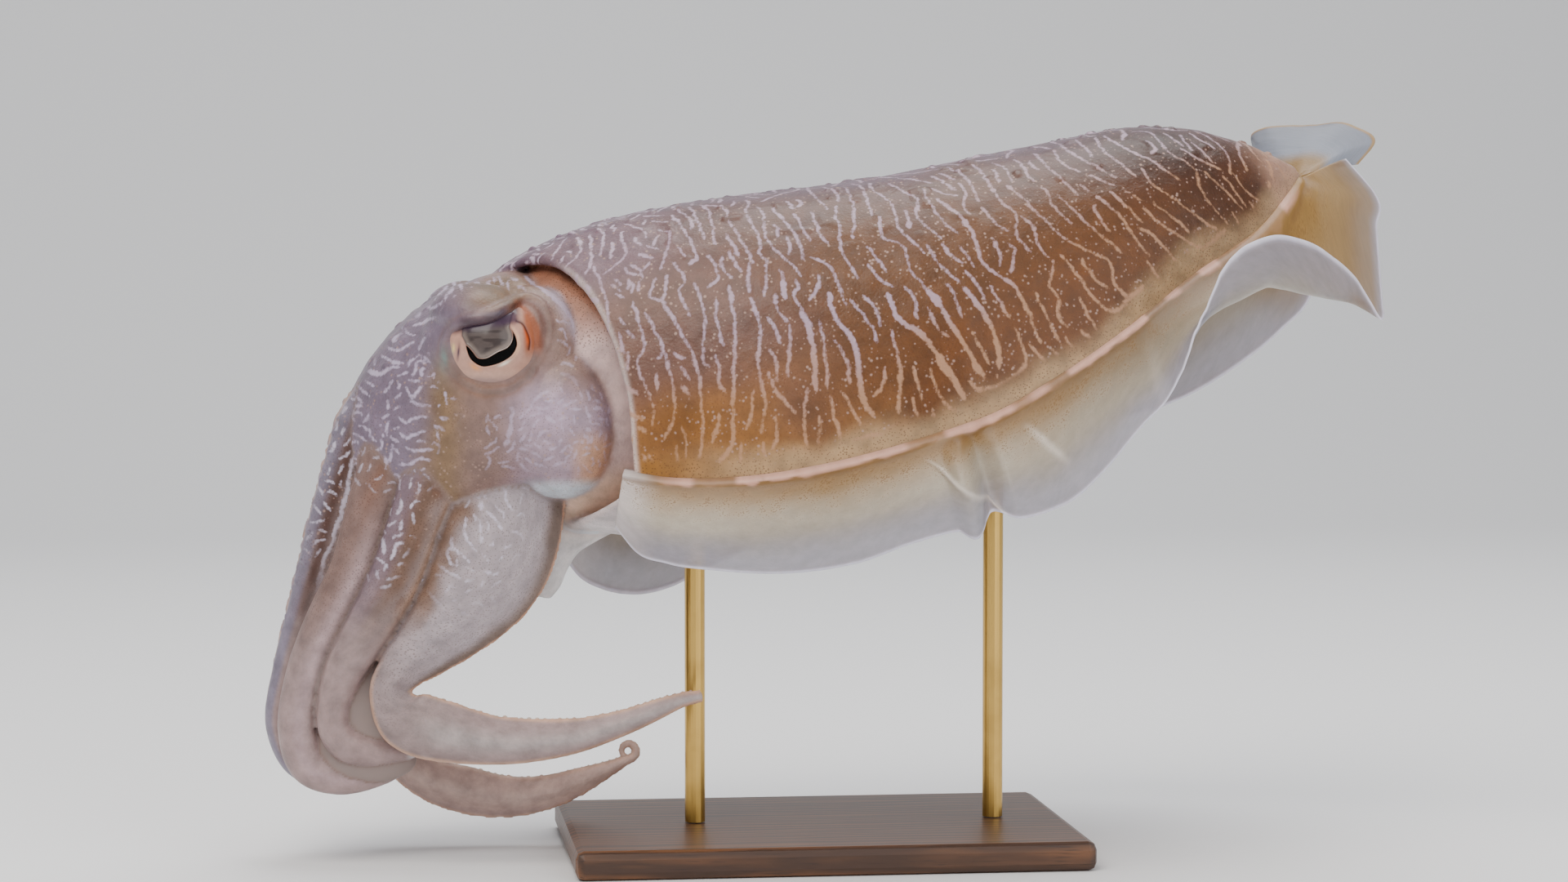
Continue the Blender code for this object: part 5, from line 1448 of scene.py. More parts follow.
    def tone(self) -> np.ndarray:
        """The broad colours, with a painted cool reflection along the middle of the back."""
        along, z = self.local[:, 0], self.points[:, 2]
        blotch, above = self.blotch, self.above
        tones = Tones("#5e3a1c", self.count)
        tones.lay("#67483d", ease(70, 30, along + blotch * 12))
        tones.lay("#5b3f38", ease(46, 16, self.down + blotch * 16) * 0.85)
        tones.lay("#76606a", ease(40, 15, along) * ease(48, 30, self.down) * 0.8)
        # Painted reflection: cool mauve-grey along the middle of the back, where the light from above falls
        tones.lay("#634e60", ease(22, 1, self.down + blotch * 10) * 0.85)
        tones.lay("#8a5a24", ease(30, 6, above + blotch * 12) * ease(85, 30, along + blotch * 20) * 0.9)
        tones.lay("#63370e", bell(17, 16, above + blotch * 8) * ease(55, 85, along + blotch * 10) * 0.75)
        tones.lay("#2e1406", bell(154, 34, along) * bell(20, 30, self.down + blotch * 6) * 0.85)
        tones.lay("#6e4416", bell(17, 9, along + blotch * 4) * bell(13, 8, above + blotch * 3) * 0.8)
        tones.lay("#a88a66", ease(10.5, 3.0, above + blotch * 5) * ease(10, 30, along + blotch * 8) * 0.9)
        tones.lay("#8a5c1c", ease(9, 3, above) * bell(10, 24, along + blotch * 8) * 0.7)
        tones.lay("#a98672", ease(172, 183, along + blotch * 5) * 0.7)
        tones.lay("#d9a894", bell(0.7, 0.7, above) * root_line_gaps(along) * ease(10, 20, along) * 0.6)
        tones.lay("#cdc2c2", ease(-0.5, -5, above))
        tones.lay("#d9c8c4", bell(0.5, 1.1, self.behind) * ease(24, 40, np.degrees(self.turn)) * 0.65)
        neck = self.soft[Region.NECK]
        tones.lay("#c4a8a4", neck)
        tones.lay("#9a6040", neck * ease(122, 134, z + blotch * 4) * 0.9)
        tones.lay("#cfae98", neck * ease(99, 91, z))
        tones.lay("#d3d4da", neck * ease(84, 79.5, z + blotch * 2))
        self.head_tone(tones)
        tones.lay("#dcd8d8", self.soft[Region.FUNNEL])
        tones.lay("#c9b2a2", self.soft[Region.FUNNEL] * ease(75, 84, z))
        self.arm_tone(tones)
        return tones.rgba()

    def head_tone(self, tones: Tones) -> None:
        """Adds the head's broad colours."""
        x, y, z = self.points.T
        beside, blotch = np.abs(y), self.blotch
        head = np.maximum(self.soft[Region.HEAD], self.soft[Region.LID])
        tones.lay("#80665e", head)
        tones.lay("#706478", head * ease(4, 14, self.forward + blotch * 5) * 0.85)
        tones.lay("#6b5238", head * bell(-79, 13, x) * ease(132.5, 136.5, z - (x + 79) * 0.1 + blotch) * 0.9
                  * ease(8, 15, beside))
        tones.lay("#7a6042", head * bell(9.5 - (112 - z) * 0.05, 6.0, -x - 82.5 + blotch * 1.5)
                  * ease(121, 112, z) * ease(20, 24, beside) * 0.85)
        tones.lay("#7a684a", head * bell(-92.5, 3.5, x) * bell(119, 7, z) * 0.5)
        tones.lay("#9c8794", head * ease(-83, -72, x + blotch * 5) * ease(119, 108, z + blotch * 4) * 0.9)
        tones.lay("#b8a2b8", head * bell(-67, 9, x + blotch * 3) * bell(111, 8, z) * 0.7)
        tones.lay("#c79877", head * ease(-66, -58, x + blotch * 3) * ease(107, 100, z) * 0.85)
        tones.lay("#c3cad2", head * ease(-76, -68, x) * ease(94.5, 91, z))
        tones.lay("#c8bfd6", head * bell(-64.5 + (136 - z) * 0.45, 2.2, x + blotch) * ease(117, 124, z) * 0.8)
        tones.lay("#8f7468", head * ease(-70, -64, x) * ease(116, 124, z) * 0.5)
        paint_eye_skin(tones, self.eye_x, self.eye_z, self.eye_near)

    def arm_tone(self, tones: Tones) -> None:
        """Adds the arms' broad colours, in bands from their front to their rear edge, with painted shade
        where arms lie close together.
        """
        front, share, blotch = self.fields["front"], self.fields["share"], self.blotch
        out = ease(-0.6, -0.1, self.fields["outer"])
        upper = ease(0.62, 0.38, share + blotch * 0.08)
        inner = self.soft[Region.ARM]
        streak = noise(np.column_stack([self.fields["run"] * 0.22, front * 3, 0 * front]), 1.0, 31)
        tones.lay("#857874", inner)
        for weight in self.arm.values():
            tones.lay("#8c7a78", weight)
            tones.lay("#9a8482", weight * ease(0.45, 0.75, share))
        one, two, three, four = (self.arm[n] * out for n in (1, 2, 3, 4))
        tones.lay("#7d7688", one * ease(0.3, 0.62, front) * 0.9)
        tones.lay("#452a22", one * bell(0.18, 0.62, front) * ease(0.66, 0.36, share + streak * 0.1) * 0.95)
        tones.lay("#9d8784", one * ease(-0.35, -0.6, front))
        tones.lay("#7a6058", two * upper * 0.85)
        tones.lay("#6f4c3a", two * bell(0.15, 0.5, front + streak * 0.2) * ease(0.42, 0.1, share) * 0.8)
        tones.lay("#a89092", two * bell(-0.05, 0.5, front) * ease(0.2, 0.4, share) * 0.8)
        # Painted shade: olive-grey along arm 2's rear edge, in the groove towards arm 3
        tones.lay("#5f5748", two * ease(-0.3, -0.7, front) * ease(0.75, 0.5, share) * 0.9)
        tones.lay("#7a6872", three * upper * ease(0.1, 0.5, front))
        tones.lay("#5e402a", three * upper * bell(0.0, 0.7, front + streak * 0.15) * 0.85)
        tones.lay("#6b4630", three * upper * ease(0.2, 0.6, streak) * ease(0.7, 0.2, np.abs(front)) * 0.6)
        tones.lay("#96755f", three * upper * ease(-0.35, -0.7, front) * 0.9)
        tones.lay("#a4989c", four * ease(0.55, 0.3, share))
        tones.lay("#6e5240", four * ease(0.3, 0.8, front + streak * 0.15) * ease(0.42, 0.3, share) * 0.95)
        tones.lay("#5f4a3a", four * ease(-0.6, -0.9, front + streak * 0.08) * ease(0.5, 0.4, share) * 0.85)
        tones.lay("#6e4f3a", four * ease(0.08, 0.0, share) * 0.7)
        tones.lay("#a39a98", self.arm[4] * ease(0.5, 0.6, share) * bell(0.1, 0.6, front) * 0.8)
        rim = (1 - np.abs(front)) * self.fields["half"]
        tones.lay("#cf9d7e", self.arm[4] * ease(0.9, 0.35, rim) * (front < 0) * ease(0.5, 0.4, share) * 0.9)
        tones.lay("#d3a88c", self.arm[4] * ease(1.3, 0.3, rim) * ease(0.4, 0.5, share) * 0.8)
        tones.lay("#c9a79a", inner * ease(0.2, -0.6, self.fields["outer"]) * 0.6)
        tones.lay("#e6e0e4", self.arm[3] * ease(0.955, 0.985, share))
        # Painted shade where an arm lies close against its neighbour
        tones.lay("#40302a", inner * self.groove_and_shade * ease(0.85, 0.5, share) * 0.55)

    def back_marks(self) -> np.ndarray:
        """How deep the mantle's points lie inside its lines."""
        along, depth = self.local[:, 0], np.full(self.count, -1.0)
        for side in Side:
            sheet = Strokes(*self.BACK_MAP, side.value + 3)
            sheet.draw(BACK_LINES, 1.5, 0.0 if side is Side.LEFT else 4.0)
            chance = np.random.default_rng([5, side.value + 1])
            places = np.column_stack([chance.uniform(-13, 186, self.BACK_TRIES),
                                      chance.uniform(0, 95, self.BACK_TRIES)])
            sheet.fill(places, smooth(self.BACK_STYLE, places[:, 0]))
            mine = self.points[:, 1] * side.value > 0
            depth[mine] = sheet.read(np.column_stack([along, self.down])[mine])
        return depth

    def side_marks(self, part: int, gap: float, styles: tuple[float, ...], shown: np.ndarray) -> np.ndarray:
        """How deep points lie inside the lines of the head or of one arm.

        Args:
            part: The arm's number, or 0 for the head.
            gap: How far other lines stay from the given ones.
            styles: Gap, length, half width, heading and wander of the lines between.
            shown: Share of the part at each point; new lines start where it is high.

        Returns:
            The depth in millimetres.
        """
        flat = self.points[:, [0, 2]]
        sheet = Strokes(*self.SIDE_MAP, part + 20)
        sheet.draw(SIDE_LINES.get(part, {}), gap)
        chance = np.random.default_rng([9, part])
        starts = flat[chance.choice(np.flatnonzero(shown > 0.5), self.SIDE_TRIES)]
        sheet.fill(starts, np.tile(styles, (len(starts), 1)))
        return sheet.read(flat)

    def attributes(self) -> dict[str, np.ndarray]:
        """Everything that the material reads."""
        along, above = self.local[:, 0], self.above
        x, y, z = self.points.T
        arm, mantle = self.soft[Region.ARM], self.soft[Region.MANTLE]
        head = self.soft[Region.HEAD] * (1 - self.eye_near)
        front, share, outer = (self.fields[name] for name in ("front", "share", "outer"))
        out = ease(-0.2, 0.3, outer) * ease(4, 8, np.abs(y))
        pattern_end = 6.2 + line_noise(along, 7.0, 19) * 1.6
        back = mantle * ease(-0.8, 0.8, above - pattern_end) * ease(186, 178, along)
        flat = np.column_stack([self.fields["run"], self.fields["turn"] * self.fields["half"], 40.0 * arm])
        place = np.where(arm[:, None] > 0.5, flat, self.points)
        brow = bell(-81, 12, x) * ease(131, 135, z) * head
        head_net = head * ease(7, 13, np.abs(y)) * np.clip(
            ease(3, 8, self.forward) * ease(88, 95, z) + brow + ease(-76, -70, x) * ease(116, 122, z) * 0.6
            + ease(-90, -80, x) * ease(119, 113, z) * ease(92, 98, z) * 0.6, 0, 1)
        mark_share = back * 0.8 + head_net * 0.75
        depth = np.where(mantle > 0.5, self.back_marks(), -1.0)
        depth = np.where(head > 0.5, self.side_marks(0, 1.1, self.HEAD_STYLE, head_net), depth)
        for n, style in self.ARM_STYLES.items():
            shown = self.arm[n] * out * {
                1: ease(-0.6, -0.2, front) * ease(0.5, 0.3, share), 2: ease(0.3, 0.12, share),
                3: ease(-0.1, 0.35, front) * ease(0.5, 0.36, share),
                4: ease(0.8, 0.5, front) * ease(-0.6, -0.1, front) * ease(0.34, 0.2, share)}[n]
            shown = np.clip(shown, 0, 1)
            depth = np.where(self.arm[n] > 0.5, self.side_marks(n, 1.2, style, shown), depth)
            mark_share = mark_share + shown * 0.75
        marks = Tones("#b39cae", self.count)
        marks.lay("#c4b0c2", ease(45, 15, along) * ease(34, 20, self.down) * mantle)
        marks.lay("#b08668", mantle * np.clip(ease(34, 14, above + self.blotch * 8)
                                              + ease(70, 130, along) * ease(12, 40, self.down) * 0.6, 0, 1))
        marks.lay("#c2b3cc", head)
        marks.lay("#cfc6d8", arm)
        return {
            "tone": self.tone(), "place": place, "mark": depth, "mark_share": np.clip(mark_share, 0, 1),
            "mark_tone": marks.rgba(),
            "dots": np.clip(back * 0.85 + head * 0.6 + (self.arm[1] * out * 0.6 + self.arm[3] * out * 0.4)
                            * ease(0.5, 0.3, share), 0, 1),
            "grain": np.clip(mantle * 0.25 + mantle * ease(9, 3, above) * ease(-1, 1, above) * 0.3
                             + head * 0.3 + arm * out * 0.4 * ease(0.6, 0.4, share)
                             + self.soft[Region.NECK] * ease(118, 130, z) * 0.7, 0, 1),
            "cover": np.ones(self.count),
        }


def paint_eye_skin(tones: Tones, x: np.ndarray, z: np.ndarray, near: np.ndarray) -> None:
    """Paints the eye's surroundings: dark fold, orange rear corner and teal front corner.

    Args:
        tones: The colours that are painted on.
        x: Distance behind the middle of the eye.
        z: Height above the middle of the eye.
        near: How strongly each point is painted.
    """
    arc = spline([(-7.2, 0, 5.3), (-2.7, 0, 5.6), (1.1, 0, 6.8), (4.5, 0, 9.3), (7.8, 0, 10.4),
                  (10.6, 0, 8.9), (11.9, 0, 5.1), (11.3, 0, 0.2)], 60)[:, [0, 2]]
    apart = np.full(len(x), 99.0)
    close = np.flatnonzero(near > 0)
    place = np.column_stack([x[close], z[close]])
    apart[close] = np.linalg.norm(place[:, None] - arc[None], axis=2).min(1)
    halo = ease(4.5, 6.5, x) * ease(12.2, 11.2, np.hypot(x, z - 0.6)) * ease(-3.0, 0.5, z)
    tones.lay("#8f4a26", near * halo * 0.85)
    tones.lay("#44343e", near * ease(2.4, 0.6, apart) * ease(5.0, 2.0, x) * ease(-10, -6, x) * 0.9)
    tones.lay("#5a3326", near * ease(1.1, 0.3, apart) * ease(2.0, 5.0, x) * 0.8)
    tones.lay("#7f88a0", near * bell(7.9 + x * 0.12, 0.8, z) * bell(-1.0, 4.5, x) * 0.2)
    tones.lay("#6f8480", near * bell(-11.2, 1.3, x) * bell(-2.6, 3.6, z) * 0.8)
    tones.lay("#6e5a52", near * ease(9.6, 10.4, np.hypot(x, z)) * ease(12.0, 10.8, np.hypot(x, z))
              * ease(-2.0, -5.0, z) * 0.6)


def fin_attributes(places: dict[str, np.ndarray]) -> dict[str, np.ndarray]:
    """A fin's colours and marks.

    Args:
        places: For each point, where it lies on the fin.

    Returns:
        Everything that the fin's material reads.
    """
    along, reach, run = (places[name] for name in ("along", "reach", "run"))
    flat = np.column_stack([run, reach * 34, places["face"] * 40])
    blotch = noise(flat, 9.0, 21) * 0.5 + noise(flat, 4.0, 22) * 0.3
    upper = np.clip(places["face"], 0, 1)
    tones = Tones("#a09686", len(along))
    tones.lay("#8f7044", ease(0.5, 0.1, reach + blotch * 0.12) * (0.4 + 0.6 * upper) * 0.9)
    tones.lay("#745224", ease(0.3, 0.05, reach + blotch * 0.08) * 0.75 * upper)
    tones.lay("#9a97a2", ease(0.46, 0.9, reach + blotch * 0.08) * 0.9)
    tones.lay("#86652e", ease(160, 172, along) * ease(1.0, 0.85, reach)
              * np.maximum(upper, ease(174, 178, along)) * 0.8)
    tones.lay("#c2b9b8", ease(13, 4, along) * 0.8)
    if places["side"][0] < 0:
        # Painted highlight: pale streaks along the ridges of the left fin's two creases
        tones.lay("#d8cfc6", fin_crease(along, reach).sum(-1) * 0.5)
    else:
        tones.lay("#7f8ca0", ease(176, 179, along) * ease(0.3, 0.5, reach) * 0.8)
        tones.lay("#a08560", ease(176, 179, along) * ease(0.94, 0.965, reach))
    tones.lay("#cfcbdc", ease(0.96, 0.99, reach) * ease(184, 176, along * (places["side"] > 0)))
    tones.lay("#6c5d48", bell(132, 34, along) * ease(0.85, 0.3, reach) * 0.65)
    broken, lump = root_line_gaps(along), line_noise(along, 2.4, 24)
    tones.lay("#6a4a24", bell(0.075, 0.035, reach) * upper * (0.3 + 0.3 * broken))
    tones.lay("#d0a08e", ease(0.05 + lump * 0.034, 0.026 + lump * 0.02, reach) * (0.2 + 0.8 * broken)
              * ease(8, 18, along) * 0.85 * upper * ease(187, 178, along))
    return {
        "tone": tones.rgba(), "place": flat, "grain": ease(0.75, 0.1, reach) * ease(0.05, 0.08, reach),
        "cover": 1 - 0.35 * ease(0.45, 0.85, reach) * ease(1.0, 0.94, reach),
    }


# Eyes and suckers


@dataclass
class Eye:
    """One eye: a ball whose front carries the pupil, the flap above it and the pearly ring round it."""

    side: int
    centre: tuple[float, float, float]
    radius: float
    reach: float = 11.6
    rings: int = 112
    spokes: int = 400
    # Outlines of the pupil's lower and upper edge, the flap's top and the slit behind it, as places
    # behind and above the middle of the eye
    pupil_low: Keys = field(default_factory=lambda: [
        (-6.4, 0.5), (-6.0, -1.2), (-5.1, -3.0), (-2.7, -4.5), (-0.1, -4.2), (2.5, -3.2), (4.5, -1.7),
        (5.5, 0.4), (5.2, 2.4), (3.9, 4.7)])
    pupil_up: Keys = field(default_factory=lambda: [
        (3.9, 4.7), (4.5, 3.1), (4.3, 1.3), (3.2, -0.1), (1.0, -1.1), (-1.8, -2.6), (-3.6, -2.5),
        (-4.6, -1.3), (-5.8, 0.1), (-6.4, 0.5)])
    flap_top: Keys = field(default_factory=lambda: [(-7.4, 2.6), (-7.0, 7.6), (0.0, 9.0), (4.8, 8.0)])
    slit: Keys = field(default_factory=lambda: [
        (5.6, 5.9), (6.9, 5.3), (7.9, 3.6), (8.6, 1.3), (8.4, -0.6)])

    def outline(self, keys: Keys) -> np.ndarray:
        """A smooth line through points of the eye's face."""
        return spline([(x, 0.0, z) for x, z in keys], 60)[:, [0, 2]]

    def inside(self, x: np.ndarray, z: np.ndarray, loop: np.ndarray) -> np.ndarray:
        """Signed distance to a closed line: above 0 inside it."""
        place = np.column_stack([x.ravel(), z.ravel()])
        best = np.full(len(place), 1e9)
        crossings = np.zeros(len(place), int)
        for a, b in zip(loop, np.roll(loop, -1, axis=0)):
            edge = b - a
            if edge @ edge < 1e-12:
                continue
            t = np.clip((place - a) @ edge / (edge @ edge), 0, 1)
            best = np.minimum(best, np.linalg.norm(place - a - t[:, None] * edge, axis=1))
            spans = (a[1] > place[:, 1]) != (b[1] > place[:, 1])
            if abs(edge[1]) > 1e-12:
                at = a[0] + (place[:, 1] - a[1]) * edge[0] / edge[1]
                crossings += spans & (place[:, 0] < at)
        return np.where(crossings % 2 == 1, best, -best).reshape(x.shape)

    def build(self, finish: bpy.types.Material) -> bpy.types.Object:
        """Makes the eye."""
        rings = np.linspace(0, 1, self.rings + 1)[1:, None] * self.reach
        turn = np.linspace(0, 2 * math.pi, self.spokes, endpoint=False)
        x, z = rings * np.cos(turn), rings * np.sin(turn)
        low, up = self.outline(self.pupil_low), self.outline(self.pupil_up)
        pupil = self.inside(x, z, np.vstack([low, up[1:-1]]))
        flap = self.inside(x, z, np.vstack([up, self.flap_top]))
        depth = np.sqrt(np.maximum(self.radius**2 - x**2 - z**2, 0))
        depth = depth - 0.5 * ease(-0.1, 0.35, pupil) + 0.3 * ease(-0.2, 0.5, flap)
        depth = depth + 0.2 * bell(0.25, 0.35, -pupil)
        slit = self.apart(x, z, self.slit)
        depth = depth - 0.35 * bell(0.0, 0.5, slit)
        front = np.stack([x, self.side * depth, z], axis=2)
        centre = np.array([self.centre[0], self.side * self.centre[1], self.centre[2]])
        tones = self.tones(x.ravel(), z.ravel(), pupil.ravel(), flap.ravel(), slit.ravel())
        shell = front + centre
        back = shell[-1:] * (1, 0, 1) + np.array([0, self.side * (self.centre[1] - 3.0), 0])
        closed = tube_shell(np.concatenate([shell, back]), Region.LID)
        made = new_object("eye_" + Side(self.side).name.lower() + "_ball", closed.points, closed.faces)
        colour = tones.rgba().reshape(*x.shape, 4)
        colour = np.concatenate([colour, colour[-1:]]).reshape(-1, 4)
        give_attribute(made, "tone", np.vstack([colour, colour[:1], colour[-1:]]))
        give_attribute(made, "place", closed.points)
        gloss = 1 - 0.85 * ease(-0.05, 0.12, pupil)
        gloss = np.concatenate([gloss, gloss[-1:]]).ravel()
        give_attribute(made, "gloss", np.concatenate([gloss, gloss[:1], gloss[-1:]]))
        made.data.materials.append(finish)
        return made

    def apart(self, x: np.ndarray, z: np.ndarray, line: Keys) -> np.ndarray:
        """Distance to a line drawn on the eye's face."""
        points = self.outline(line)
        return np.linalg.norm(np.stack([x, z], axis=-1)[..., None, :] - points, axis=-1).min(-1)

    def tones(self, x: np.ndarray, z: np.ndarray, pupil: np.ndarray, flap: np.ndarray,
              slit: np.ndarray) -> Tones:
        """The eye's colours: peach ring, golden and teal corners, grey flap, black pupil, and painted glints
        below the pupil.
        """
        streaks = noise(np.column_stack([x * 0.6, z * 2.0, 0 * x]), 1.3, 41)
        tones = Tones("#b98e7c", len(x))
        tones.lay("#9c817c", ease(-5.4, -8.2, z + streaks * 0.4) * 0.9)
        tones.lay("#c9a08c", bell(-6.3, 1.4, z) * ease(8.0, 5.0, np.abs(x)) * 0.6)
        # Painted highlights: a golden-orange glint at the pupil's lower front edge and a white one at its
        # lower rear edge
        tones.lay("#e69a5c", bell(0.8, 0.9, -pupil) * bell(-4.6, 1.8, z) * bell(-4.2, 1.8, x) * 0.95)
        tones.lay("#fff2e0", bell(0.55, 0.5, -pupil) * bell(2.8, 2.2, x) * bell(-4.0, 1.6, z))
        tones.lay("#f0c09a", bell(0.45, 0.5, -pupil) * bell(6.0, 2.0, x) * 0.8)
        tones.lay("#9a5230", ease(6.4, 8.0, x) * ease(-3.5, 0.5, z) * 0.85)
        tones.lay("#dd5a1c", bell(8.2, 0.75, x - (2.0 - z) * 0.1 + np.maximum(z - 2.5, 0) * 0.35)
                  * bell(2.2, 2.6, z) * 0.95)
        tones.lay("#451c12", bell(0.0, 0.5, slit) * 0.9)
        tones.lay("#6c8c88", ease(-8.8, -9.8, x) * bell(-2.6, 3.2, z) * 0.9)
        tones.lay("#e2c884", bell(-9.1, 0.45, x) * bell(-0.3, 1.3, z) * 0.9)
        tones.lay("#2c1c38", bell(-7.9, 0.45, x - z * 0.1) * bell(-1.2, 2.6, z) * 0.9)
        tones.lay("#504643", ease(-0.1, 0.3, flap))
        tones.lay("#342b2a", ease(0.8, 2.0, flap) * ease(0.0, 0.6, streaks + 0.2) * 0.8)
        tones.lay("#7d7068", ease(1.5, 0.6, flap) * ease(0.15, 0.5, flap) * 0.7)
        tones.lay("#e8dcd2", bell(0.12, 0.16, -pupil) * ease(-0.5, 0.0, flap) * ease(-4.5, 0.5, x)
                  * ease(3.0, 1.0, z) * 0.8)
        tones.lay("#3d2a3e", ease(3.6, 5.6, z - x * 0.15) * ease(7.0, 5.0, x) * 0.9)
        tones.lay("#020202", ease(-0.05, 0.12, pupil))
        return tones


@dataclass
class Suckers:
    """The suckers of one arm: staggered rows of small cups on short stalks."""

    arm: Arm
    first: float = 0.13
    last: float = 0.985
    pitch: float = 2.1
    lanes: int = 4
    sides: int = 11
    # Where across the fourth arms the rows run, by the share of the way along: they turn to its edge
    lean: Keys = field(default_factory=lambda: [(0, 0), (0.36, 0), (0.56, 0.66), (1, 0.55)])

    def profile(self) -> np.ndarray:
        """Radius and height of the cup's outline, for a cup of radius 1."""
        return np.array([(0.62, -0.9), (0.62, 0.0), (0.96, 0.34), (1.0, 0.54), (0.88, 0.66), (0.7, 0.56),
                         (0.5, 0.26), (0.2, 0.14)])

    def build(self, finish: bpy.types.Material) -> bpy.types.Object:
        """Makes all the cups of the arm as one piece."""
        arm = self.arm
        chance = np.random.default_rng([7, arm.number, arm.side + 1])
        share_run = arm.run / arm.run[-1]
        profile = self.profile()
        turn = np.linspace(0, 2 * math.pi, self.sides, endpoint=False)
        upper = math.copysign(1, arm.across[len(arm.rows) * 2 // 3, 2])
        cups = []
        place, i = self.first, 0
        while place < self.last:
            row = [np.interp(place, share_run, arm.rows[:, k]) for k in range(5)]
            out = np.array([np.interp(place, share_run, arm.inward[:, k]) for k in range(3)])
            aside = np.array([np.interp(place, share_run, arm.across[:, k]) for k in range(3)])
            lean = float(smooth(self.lean, place)) if arm.number == 4 else 0.0
            spread = 0.52 * (1 - abs(lean))
            size, drift = chance.uniform(-1, 1, 2)
            lane = (i % self.lanes - (self.lanes - 1) / 2) / ((self.lanes - 1) / 2)
            across = lean * upper + lane * spread + drift * 0.04
            scale = 0.09 if arm.number == 4 and place > 0.5 else 0.15
            radius = min(1.25, max(0.3, scale * row[3] + 0.12)) * (1 + size * 0.12)
            deep = row[4] * arm.oral_flatness * math.sqrt(max(0.05, 1 - across**2))
            foot = np.array(row[:3]) + aside * across * row[3] + out * deep
            normal = unit(out + aside * across * deep / row[3])
            first = unit(np.cross(normal, np.array([0.3, 0.5, 0.8])))
            second = np.cross(normal, first)
            ring = np.cos(turn)[:, None] * first + np.sin(turn)[:, None] * second
            rings = (foot + profile[:, None, 1:] * radius * normal + profile[:, None, :1] * radius * ring)
            shell = tube_shell(rings, Region.ARM)
            cups.append((shell.points, shell.faces))
            place += max(0.45, radius * self.pitch / 2.6) / arm.run[-1]
            i += 1
        made = new_object(f"suckers_{Side(arm.side).name.lower()}_{arm.number}", *joined(cups))
        made.data.materials.append(finish)
        return made


# Stage


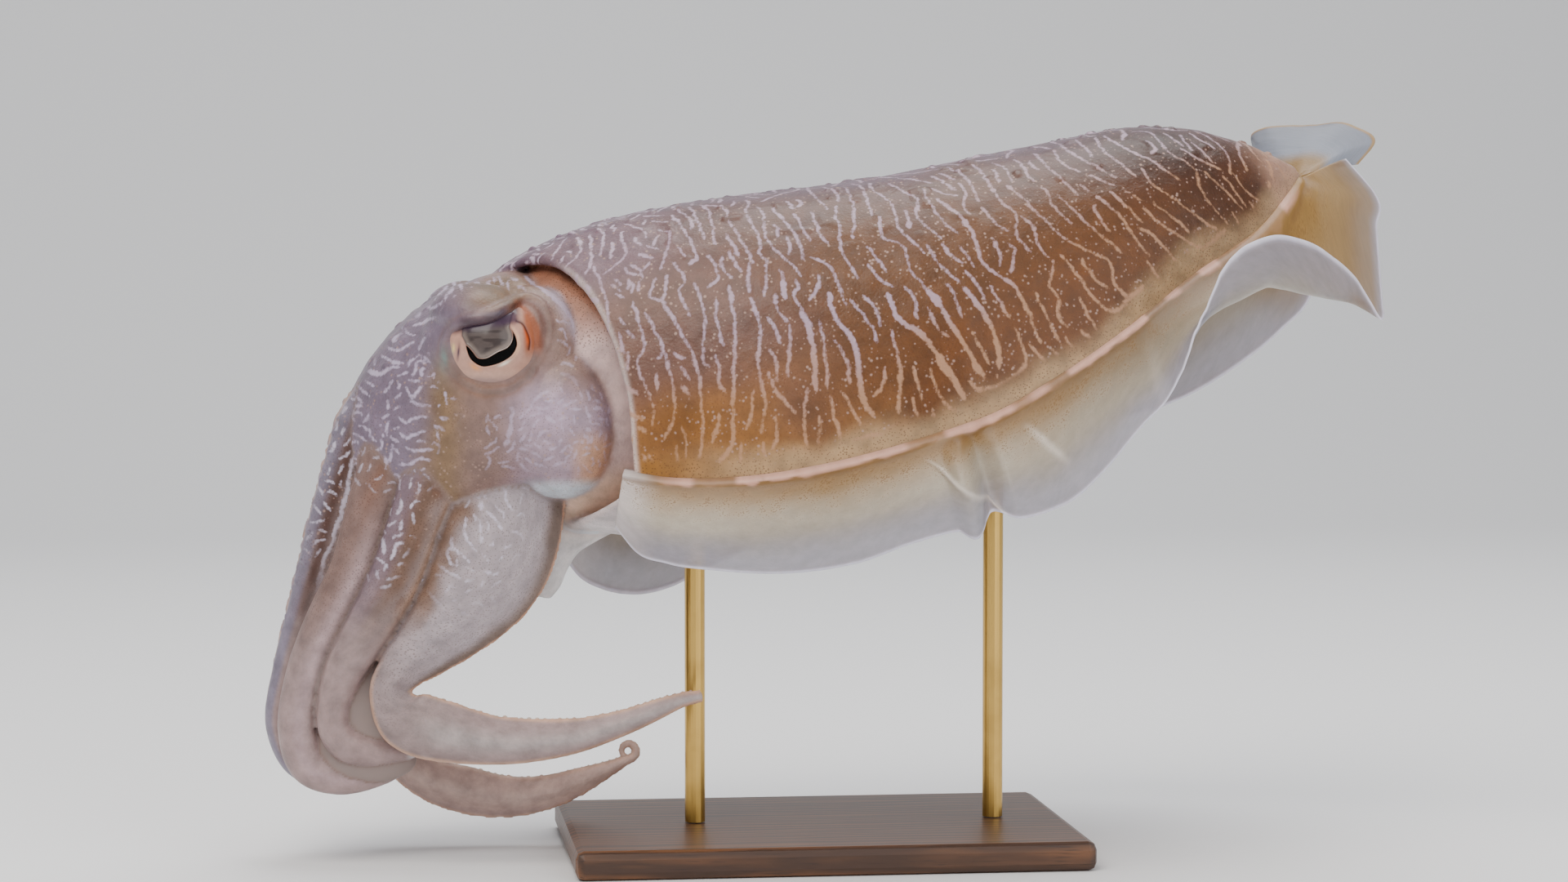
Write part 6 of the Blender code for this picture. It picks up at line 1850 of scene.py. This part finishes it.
@dataclass
class Studio:
    """A plain pale sweep, soft lights and the camera."""

    focal: float = 84.4
    distance: float = 900.0
    azimuth: float = math.radians(-7)
    elevation: float = math.radians(3)
    target: tuple[float, float, float] = (-8.0, 0.0, 100.6)
    aim: tuple[float, float, float] = (0.0, 0.0, 100.0)
    floor_colour: str = "#ececed"
    bend_start: float = 1000.0
    bend_radius: float = 700.0

    def camera(self) -> None:
        """Places the camera at the photograph's angle and framing."""
        lens = bpy.data.cameras.new("camera")
        lens.lens, lens.sensor_width, lens.clip_start = self.focal, 36.0, 0.01
        camera = bpy.data.objects.new("camera", lens)
        bpy.context.scene.collection.objects.link(camera)
        back = Vector((math.sin(self.azimuth) * math.cos(self.elevation),
                       -math.cos(self.azimuth) * math.cos(self.elevation), math.sin(self.elevation)))
        camera.location = (Vector(self.target) + back * self.distance) * MM
        camera.rotation_mode = "QUATERNION"
        camera.rotation_quaternion = (-back).to_track_quat("-Z", "Y")
        bpy.context.scene.camera = camera

    def sweep(self) -> None:
        """The floor, which curves up into a backdrop far behind the object."""
        start, radius = self.bend_start, self.bend_radius
        profile = [(y, 0.0) for y in (-2500.0, -1000.0, 0.0, 900.0)]
        for turn in np.linspace(0, math.pi / 2, 24):
            profile.append((start + radius * math.sin(turn), radius * (1 - math.cos(turn))))
        profile.append((start + radius, 3000.0))
        across = (-3500.0, -1200.0, 0.0, 1200.0, 3500.0)
        points = np.array([(x, y, z) for y, z in profile for x in across])
        floor = new_object("floor", points, sheet_faces(len(profile), len(across)))
        g = Graph("matt_paper_sweep")
        place = g.add("TexCoord", out="Object")
        tooth = g.add("TexNoise", {"Vector": place, "Scale": 1 / (2.0 * MM), "Detail": 2.0})
        bump = g.add("Bump", {"Strength": 0.05, "Distance": 0.1 * MM, "Height": tooth})
        g.link(g.shader, {"Base Color": rgba(self.floor_colour), "Roughness": 0.9, "Normal": bump})
        floor.data.materials.append(g.material)

    def light(self, name: str, place: tuple[float, ...], size: float, power: float,
              colour: str = "#ffffff") -> None:
        """One soft square light.

        Args:
            name: Its name.
            place: Where it hangs, in millimetres.
            size: Its width in millimetres.
            power: Its power in watts.
            colour: Its colour.
        """
        lamp = bpy.data.lights.new(name, "AREA")
        lamp.size, lamp.energy, lamp.color = size * MM, power, linear(colour)
        holder = bpy.data.objects.new(name, lamp)
        holder.location = Vector(place) * MM
        holder.rotation_euler = (Vector(place) - Vector(self.aim)).to_track_quat("Z", "Y").to_euler()
        bpy.context.scene.collection.objects.link(holder)

    def build(self) -> None:
        """Sets up the whole stage."""
        self.camera()
        self.sweep()
        self.light("key_light", (-500.0, -700.0, 1100.0), 900.0, 16.0, "#fff8f0")
        self.light("fill_light", (900.0, -1100.0, 500.0), 1200.0, 9.0)
        self.light("top_light", (150.0, 250.0, 1200.0), 900.0, 12.0)
        world = bpy.data.worlds.new("studio")
        bpy.context.scene.world = world
        world.use_nodes = True
        backing = world.node_tree.nodes["Background"]
        backing.inputs["Color"].default_value = rgba("#e8ecf2")
        backing.inputs["Strength"].default_value = 0.5


def dress_stand() -> None:
    """Gives the stand's solids their finishes."""
    walnut, brass = OiledWalnut().build(), BrushedBrass().build()
    for name, finish, slot in (("stand_base", walnut, "base_wood"), ("stand_rod_front", brass, "rod_brass"),
                               ("stand_rod_rear", brass, "rod_brass")):
        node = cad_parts[name]
        node.data.materials.clear()
        node.data.materials.append(finish)


def main() -> None:
    """Builds every piece in order and reports it."""
    logging.basicConfig(level=logging.INFO, format="%(message)s")
    mantle, head, arms = Mantle(), Head(), all_arms()
    fins = [Fin(mantle, side.value, FIN_KEYS[side]) for side in Side]
    skin = Skin(mantle, head, arms).build([MoistSkin().build(), FinMembrane().build()], fins)
    flesh = [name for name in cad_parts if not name.startswith(("stand_", "eye_"))]
    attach(skin, "root")
    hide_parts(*flesh)
    LOG.info("skin: %d faces", len(skin.data.polygons))
    wet = WetEye().build()
    for side in Side:
        ball = Eye(side.value, head.eye, head.eye_radius).build(wet)
        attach(ball, "root")
        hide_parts("eye_" + side.name.lower())
        LOG.info("%s: %d faces", ball.name, len(ball.data.polygons))
    flesh_finish = PaleFlesh().build()
    for arm in arms:
        cups = Suckers(arm).build(flesh_finish)
        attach(cups, "root")
        LOG.info("%s: %d faces", cups.name, len(cups.data.polygons))
    dress_stand()
    LOG.info("stand dressed")
    Studio().build()


if __name__ == "__main__":
    main()
